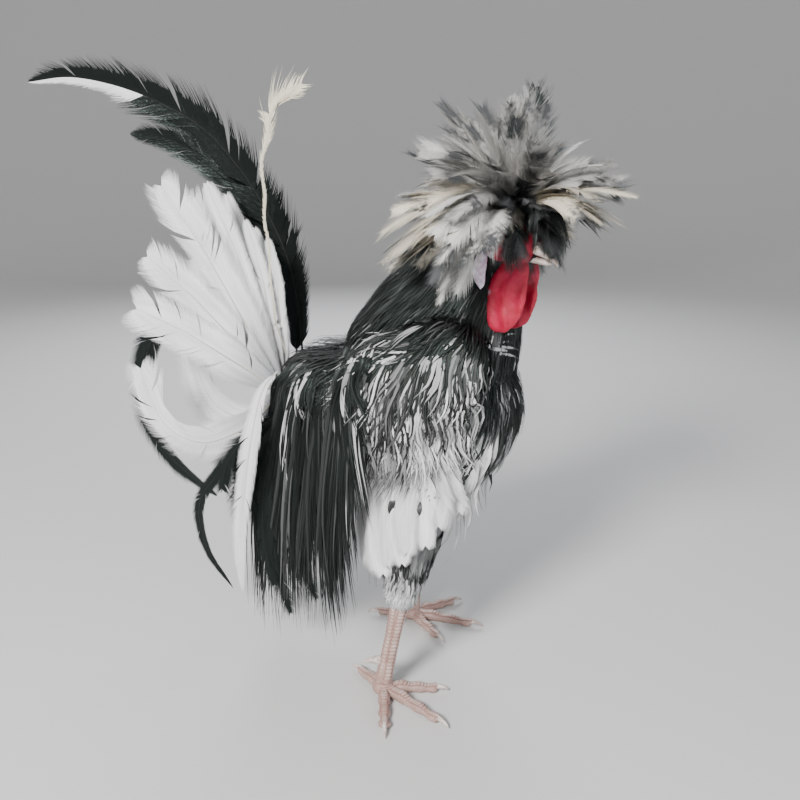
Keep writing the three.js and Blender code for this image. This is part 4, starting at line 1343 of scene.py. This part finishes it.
# The flight feathers, then the coverts upwards, then the front edge. Each tier has how many
# feathers and strands, the width, how far roots and tips stand off, how pale it is, and the roots
# and tips of its first and last feather.
WING_TIERS = [
    (9, 1, 27, 0.2, 9.0, 1, ((64, 60, 250), (-18, 62, 240)), ((68, 68, 176), (-14, 68, 104))),
    (50, 5, 8.5, 2.6, 4.5, 0.3, ((72, 62, 280), (-14, 62, 258)), ((72, 70, 208), (-24, 68, 172))),
    (56, 5, 8.5, 3.8, 1.0, 0.08, ((78, 60, 300), (-10, 62, 275)), ((74, 70, 232), (-28, 68, 196))),
    (56, 5, 8, 4.4, 0.5, -0.1, ((84, 56, 318), (0, 60, 296)), ((74, 70, 256), (-26, 68, 222))),
    (52, 5, 8, 5.0, 0.0, -0.35, ((86, 50, 330), (10, 56, 312)), ((74, 66, 276), (-14, 66, 250))),
    (8, 3, 9, 2.0, 4.0, 0.6, ((93, 40, 252), (72, 54, 214)), ((70, 56, 176), (40, 64, 116))),
]
WING_ROWS = 9
ROOT_SUNK = 1.5  # how deep the roots start in the skin
LEAST_OFF = 0.6


def wing_spine(tree, side, root, tip, offs, soft):
    """A spine over the wing, from under the skin to the tip."""
    bend = 5 * noise.noise(Vector((root[0] / 14, root[2] / 20, 3.0)))
    y, spine = root[1], []
    for t in np.linspace(0, 1, WING_ROWS):
        x, _, z = lerp(root, tip, t)
        x += bend * math.sin(2.5 * math.pi * t) if soft else -5 * math.sin(math.pi * t)
        reach = side_of(tree, x, z, side)
        if reach is not None:
            y = lerp(y, reach, 0.6 if t else 1)
        sunk = 1 - min(1, t / 0.3)
        off = offs[0] + offs[1] * t * t + offs[2] + LEAST_OFF
        spine.append((x, side * (y + off * (1 - sunk) - ROOT_SUNK * sunk), z))
    return spine


def wing_coat(tree, name, side, material):
    """Big pale flight feathers under tiers of soft mottled coverts."""
    coat = Coat(51 + side)
    for count, strands, broadness, off, rise, pale, *ends in WING_TIERS:
        roots, tips = np.array(ends, float)
        spines = []
        for k in range(count):
            share = np.clip((k + coat.draw.uniform(-0.4, 0.4)) / (count - 1), 0, 1)
            tip = lerp(*tips, share)
            if strands > 1:
                tip += (coat.draw.normal(0, 4), 0, coat.draw.normal(0, 5))
            else:
                tip += (0, 0, 7 * (k % 2))
            offs = off, rise, 0.5 * (k % 2)
            spines.append(wing_spine(tree, side, lerp(*roots, share), tip, offs, strands > 1))
        spines = np.array(spines)
        faces = np.tile(np.array([0.08, side, 0.1]), (count, WING_ROWS, 1))
        width = np.full(count, broadness) * coat.draw.uniform(0.9, 1.1, count)
        lie = unit(spines[:, -1] - spines[:, 0])
        tones = [plumage_tone(s[WING_ROWS // 2], aim) for s, aim in zip(spines, lie)]
        tones = np.clip(np.array(tones) + pale, 0, 1)
        ground, mark = colours(coat.draw, tones, edge=(0.55, 1.0), tipped=0.45)
        patch = around_axis(spines[:, 0], np.array([30, 0, 260.0]), ALONG_X, 200)
        if strands > 1:
            half = half_widths(coat.draw, width, WING_ROWS, lance)
            coat.tufts(spines, faces, half, 0.6, ground, mark, patch, strands, 0.09, 0.05)
            continue
        half = half_widths(coat.draw, width, WING_ROWS, oval, 0.0)
        for k in range(count):
            # painted shade: every other flight feather is painted darker, so that their edges read
            # apart
            shade = np.array([*WHITE * (0.84 if k % 2 else 1.02), UNMARKED])
            coat.barbed(
                spines[k], faces[k], half[k], shade, mark[k], patch[k], gap=0.7, shaft=0.7,
                splits=3, sweep=1.2, ragged=0.05, part=0.05,
            )
    coat.finish("wing_" + name + "_coat", "mottled_feather", material, ["wing_" + name])


CREST_CLUSTERS = 36
CREST_PER_CLUSTER = 9
CREST_ROWS = 10
CREST_TOP, CREST_BOTTOM = 0.97, -0.36  # how steeply the first and the last cluster rise
CREST_TONES = ((0.62, 0.61, 0.59), (0.56, 0.51, 0.42), (0.36, 0.35, 0.34), (0.10, 0.095, 0.09))
CREST_SHARES = (0.46, 0.26, 0.18, 0.10)
CREAM, SOOT = np.array([0.56, 0.52, 0.44]), np.array([0.02, 0.02, 0.02])
FORELOCKS = [
    (7, CREAM, [(-5, -2, 22), (6, -11, 27), (13, -17, 13), (15, -20, -10)]),
    (5, CREAM, [(-5, 2, 22), (6, 11, 27), (13, 17, 13), (15, 20, -8)]),
    (9, SOOT, [(-2, -1, 24), (12, -5, 30), (21, -10, 22), (25, -14, 4)]),
    (9, SOOT, [(-2, 2, 24), (13, 9, 31), (25, 15, 23), (32, 19, 6)]),
]


def crest_cluster(coat, rise, turn):
    """Frayed feathers that spring together, arch and droop: short and dark ones over the beak."""
    flat = math.sqrt(1 - rise * rise)
    heading = np.array([flat * math.cos(turn), flat * math.sin(turn), rise])
    front = math.cos(turn) > 0.35 and rise < 0.3
    full = CREST_REACH * coat.draw.uniform(0.84, 1.16)
    if front:
        full *= 0.64 if rise > 0 else 0.38
    tone = np.array(CREST_TONES[coat.draw.choice(4, p=CREST_SHARES)])
    if front:
        tone = BLACK * 3
    droop = (8 + 18 * coat.draw.random()) * flat
    sweep_round = np.cross(heading, coat.draw.normal(0, 1, 3))
    upward = np.array([-rise * math.cos(turn), -rise * math.sin(turn), flat])
    patch = np.array([turn / (2 * math.pi) % 1, 0.5 + 0.4 * rise])
    t = np.linspace(0.05, 1, CREST_ROWS)[:, None]
    for _ in range(CREST_PER_CLUSTER):
        aim = unit(heading + coat.draw.normal(0, 0.1, 3))
        reach = full * coat.draw.uniform(0.7, 1.0)
        curl = sweep_round * 10 + np.cross(aim, coat.draw.normal(0, 1, 3)) * 5
        path = CREST_ROOT + aim * reach * t + curl * t**2
        path[:, 2] -= droop * t[:, 0] ** 2.2 - 7 * flat * np.sin(np.pi * t[:, 0])
        face_out = unit(upward + coat.draw.normal(0, 0.4, 3))
        half = coat.outline(CREST_ROWS, coat.draw.uniform(15, 24), oval, 0.05)
        ground = np.array([*tone * coat.draw.uniform(0.75, 1.25), coat.draw.uniform(0.68, 1.25)])
        mark = np.array([*lerp(BLACK * 3, GREY, coat.draw.random()), 1])
        coat.barbed(
            on_head(path), head_aim(face_out), half, ground, mark, patch, gap=1.35, shaft=0.35,
            splits=10, sweep=1.7, ragged=0.4, bent=False, part=0.3,
        )


def forelock(coat, tone, through):
    """One feather of a lock that hangs over the face."""
    jitter = np.outer(np.linspace(0.2, 1, len(through)), coat.draw.normal(0, 4.5, 3))
    path = along_curve(np.array(through, float) + jitter, CREST_ROWS)
    half = coat.outline(CREST_ROWS, coat.draw.uniform(7, 11), lance, 0.05)
    ground = np.array([*tone * coat.draw.uniform(0.75, 1.25), 1.1])
    outward = np.array([0.5, np.sign(through[-1][1]), 0.6])
    face_out = unit(outward + coat.draw.normal(0, 0.3, 3))
    coat.barbed(
        on_head(path), head_aim(face_out), half, ground, np.array([*GREY, 1]), np.array([0.5, 0.9]),
        gap=1.2, shaft=0.35, splits=10, sweep=2.2, ragged=0.5, bent=False, part=0.35,
    )


def crest_coat(material):
    """Clusters spread evenly over the knob of the skull, then the locks over the face."""
    coat = Coat(61)
    golden = math.pi * (3 - math.sqrt(5))
    for cluster in range(CREST_CLUSTERS):
        rise = lerp(CREST_TOP, CREST_BOTTOM, (cluster + 0.5) / CREST_CLUSTERS)
        crest_cluster(coat, rise, cluster * golden + coat.draw.normal(0, 0.15))
    for count, tone, through in FORELOCKS:
        for _ in range(count):
            forelock(coat, tone, through)
    coat.finish("crest_coat", "crest_feather", material, ["crest"])


# The main tail feathers from the middle outwards: lean in degrees, length and width
RECTRICES = [(3, 130, 16), (9, 148, 17), (17, 186, 23), (28, 200, 48), (43, 160, 42), (59, 140, 46)]
LOW_RECTRIX = [(-108, 14, 256), (-134, 30, 226), (-180, 36, 206), (-220, 37, 222), (-240, 36, 272)]
LOW_WIDTH = 46
TAIL_ROOT = (-112, 0, 274)
FAN_ROWS, LOW_ROWS = 24, 30
# painted shade: the grey that the white fan feathers darken to at their roots
FAN_ROOT_SHADE = GREY * 2.2


def shaded_fan_paint(at, sign):
    """White, with painted shade that greys it towards the root."""
    ground = lerp(FAN_ROOT_SHADE, WHITE, smooth_step(0.0, 0.45, at)[:, None])
    return np.c_[ground, np.full(len(at), UNMARKED)], np.array([*GREY, 1])


def tail_fan(material):
    """Fourteen main tail feathers, folded like a tent."""
    coat = Coat(71)

    def plume(spine, face_out, width, patch):
        half = coat.outline(len(spine), width, broad)
        ground, mark = np.array([*FAN_ROOT_SHADE, UNMARKED]), np.array([*GREY, 1])
        coat.barbed(
            spine, face_out, half, ground, mark, np.array(patch), shaded_fan_paint, gap=0.9, shaft=1.1,
            part=0.2,
        )

    t = np.linspace(0, 1, FAN_ROWS)
    bow = np.interp(t, [0, 0.34, 0.67, 1], [0, -1, -2, 3])
    for side in SIDES.values():
        left = side == LEFT
        for k, (lean, length, width) in enumerate(RECTRICES):
            a = math.radians(lean + (2.5 if left else 0))
            length = length * (0.95 if left else 1)
            x = TAIL_ROOT[0] + 2 - math.sin(a) * length * t - bow * math.cos(a)
            y = side * (3 + 5 * k) * (0.7 + 0.9 * t)
            z = TAIL_ROOT[2] - 14 + math.cos(a) * length * t - bow * math.sin(a)
            face_out = (0.22 * math.cos(a) * side, side, 0.12 + 0.22 * math.sin(a))
            patch = (0.1 + 0.06 * k + (0.45 if left else 0), 0.1)
            plume(np.stack([x, y, z], axis=1), face_out, width, patch)
        low = [(x + (8 if left else 0), side * y, z) for x, y, z in LOW_RECTRIX]
        patch = (0.42 + (0.5 if left else 0), 0.4)
        plume(along_curve(low, LOW_ROWS), (0.2, side, -0.25), LOW_WIDTH, patch)
    coat.finish("tail_fan", "white_feather", material, ["tail"])


# Each long tail feather: its slot, width, outward face and the places that it runs through
SICKLES = {
    "sickle_great": ("black_feather", 54, (0, 1, 0), [
        (-104, 24, 284), (-110, 33, 320), (-119, 38, 358), (-136, 40, 398), (-168, 40, 448),
        (-209, 38, 488), (-268, 34, 516), (-331, 30, 530), (-384, 28, 527),
    ]),
    "sickle_second": ("black_feather", 44, (0, 1, 0), [
        (-110, 24, 280), (-118, 42, 322), (-134, 49, 372), (-162, 50, 418), (-200, 48, 452),
        (-243, 45, 474), (-284, 42, 480),
    ]),
    "sickle_low": ("black_feather", 34, (0, 1, 0), [
        (-118, 16, 266), (-140, 38, 284), (-176, 44, 312), (-224, 44, 322), (-268, 42, 298),
        (-294, 40, 246), (-292, 38, 196), (-262, 36, 150), (-212, 34, 118),
    ]),
    "sickle_pale": ("crest_feather", 9, (0.3, 1, 0), [
        (-104, -10, 290), (-103, -31, 330), (-105, -32, 383), (-108, -31, 440),
        (-102, -30, 482), (-90, -28, 503), (-74, -26, 514),
    ]),
    "sickle_white": ("white_feather", 17, (0.35, 1, 0), [
        (-108, -22, 276), (-114, -40, 262), (-122, -47, 225), (-130, -50, 180),
        (-138, -50, 130), (-141, -49, 95), (-141, -48, 64),
    ]),
    "sickle_left": ("black_feather", 18, (-0.35, 1, 0), [
        (-108, 22, 272), (-116, 40, 256), (-134, 50, 220), (-152, 53, 176), (-164, 53, 130),
        (-166, 52, 92), (-162, 51, 62),
    ]),
    "sickle_under": ("black_feather", 16, (0, 1, 0), [
        (-112, 2, 254), (-142, 4, 216), (-186, 5, 164), (-216, 6, 122), (-212, 6, 72),
        (-184, 6, 30),
    ]),
}
SICKLE_TONES = {
    "black_feather": BLACK,
    "white_feather": WHITE,
    "crest_feather": np.array([0.62, 0.57, 0.46]),
}
SICKLE_ROWS = 60
SICKLE_BARBS = {"gap": 1.0, "shaft": 1.1, "splits": 26, "sweep": 1.3}
GREAT_BARBS = SICKLE_BARBS | {"ragged": 0.3, "part": 0.3}
PALE_BARBS = {"gap": 0.9, "shaft": 0.8, "splits": 50, "sweep": 1.4, "ragged": 0.9, "part": 0.6}


def great_paint(at, sign):
    """Black, but for a white streak on the lower side near the tip."""
    white = (at > 0.7) & (sign < 0)
    ground = np.where(white[:, None], WHITE, BLACK)
    return np.c_[ground, np.full(len(at), UNMARKED)], np.array([*BLACK, 1])


def sickles(materials):
    """The seven long curved feathers that stand off from the tail."""
    t = np.linspace(0, 1, SICKLE_ROWS)
    for number, (name, (slot, width, face_out, through)) in enumerate(SICKLES.items()):
        coat = Coat(81 + number)
        spine = along_curve(through, SICKLE_ROWS)
        half = coat.outline(SICKLE_ROWS, width, curved_blade)
        paint, barbs = None, SICKLE_BARBS
        if name == "sickle_great":
            paint, barbs = great_paint, GREAT_BARBS
            half[:, 1] *= np.interp(t, [0, 0.66, 0.74, 1], [1, 1, 0.5, 0.5])
        if name == "sickle_white":
            half *= 1.5
        if name == "sickle_pale":
            barbs = PALE_BARBS
            spine[:, 0] += 2.2 * np.sin(t * 34) * t
            half = np.interp(t, [0, 0.2, 0.7, 0.88, 1], [0.8, 1.4, 2.4, 12, 5])
            half = half[:, None].repeat(2, axis=1)
        ground, mark = np.array([*SICKLE_TONES[slot], UNMARKED]), np.array([*WHITE, 1])
        coat.barbed(spine, face_out, half, ground, mark, PATCH_MIDDLE, paint, **barbs)
        coat.finish(name + "_coat", slot, materials[slot], [name])


COVERTS = 54
COVERT_ROWS = 16


def tail_coverts(material):
    """Broad black feathers with pale tips that hang under the tail."""
    coat = Coat(91)
    t = np.linspace(0, 1, COVERT_ROWS)
    bow = 12 * np.sin(np.pi * t) - 16 * t**3
    for k in range(COVERTS):
        out = coat.draw.uniform(-40, 40)
        lean = math.radians(lerp(-2, 52, (k + coat.draw.random()) / COVERTS))
        span = lerp(205, 118, min(1, lean / 0.8)) * coat.draw.uniform(0.6, 1.0)
        x = -98 - span * t * math.sin(lean) - bow
        y = out * (0.6 + 0.5 * t)
        z = 244 - span * t * math.cos(lean)
        half = coat.outline(COVERT_ROWS, coat.draw.uniform(17, 27), broad, 0.05)
        tipped = coat.draw.random() < 0.6 and lean > 0.55
        ground = np.array([*BLACK, coat.draw.uniform(0.82, 0.92) if tipped else UNMARKED])
        face_out = np.array([0.4, math.copysign(1, out), 0.2])
        coat.barbed(
            np.stack([x, y, z], axis=1), face_out, half, ground, np.array([*WHITE * 0.8, 1]),
            PATCH_MIDDLE, gap=1.3, shaft=0.6, splits=14, ragged=0.25, sweep=1.3, part=0.25,
            bent=False,
        )
    coat.finish("tail_coverts_coat", "black_feather", material, ["tail_coverts"])


def build():
    materials = {
        "black_feather": feather_look("glossy black feather", 0.03, (0.34, 0.55), 0.1),
        "white_feather": feather_look("white feather", 0.8, wander=0.15),
        "mottled_feather": feather_look("mottled feather", 0.25),
        "crest_feather": feather_look("crest feather", 0.3),
        "flesh": face_look(),
        "eye": eye_look(),
        "horn": horn_look(),
        "leg": leg_look(),
    }
    bulk = one_skin("skin", body_shapes(), 4.0)
    tree = tree_of(bulk)
    body_coat(bulk, tree, materials["mottled_feather"])
    thigh_coat(bulk, tree, materials["mottled_feather"])
    neck_hackles(bulk, tree, materials["black_feather"])
    for name, side in SIDES.items():
        wing_coat(tree, name, side, materials["mottled_feather"])
        saddle_hackles(tree, name, side, materials["black_feather"])
    crest_coat(materials["crest_feather"])
    tail_fan(materials["white_feather"])
    sickles(materials)
    tail_coverts(materials["black_feather"])
    face(materials)
    legs(materials)
    move_points(bulk, points_of(bulk) - normals_of(bulk) * SKIN_SUNK)
    settle(bulk, "mottled_feather", skin_look(), ["torso", "neck", "thigh_right", "thigh_left"])


add_camera()
add_room()
build()
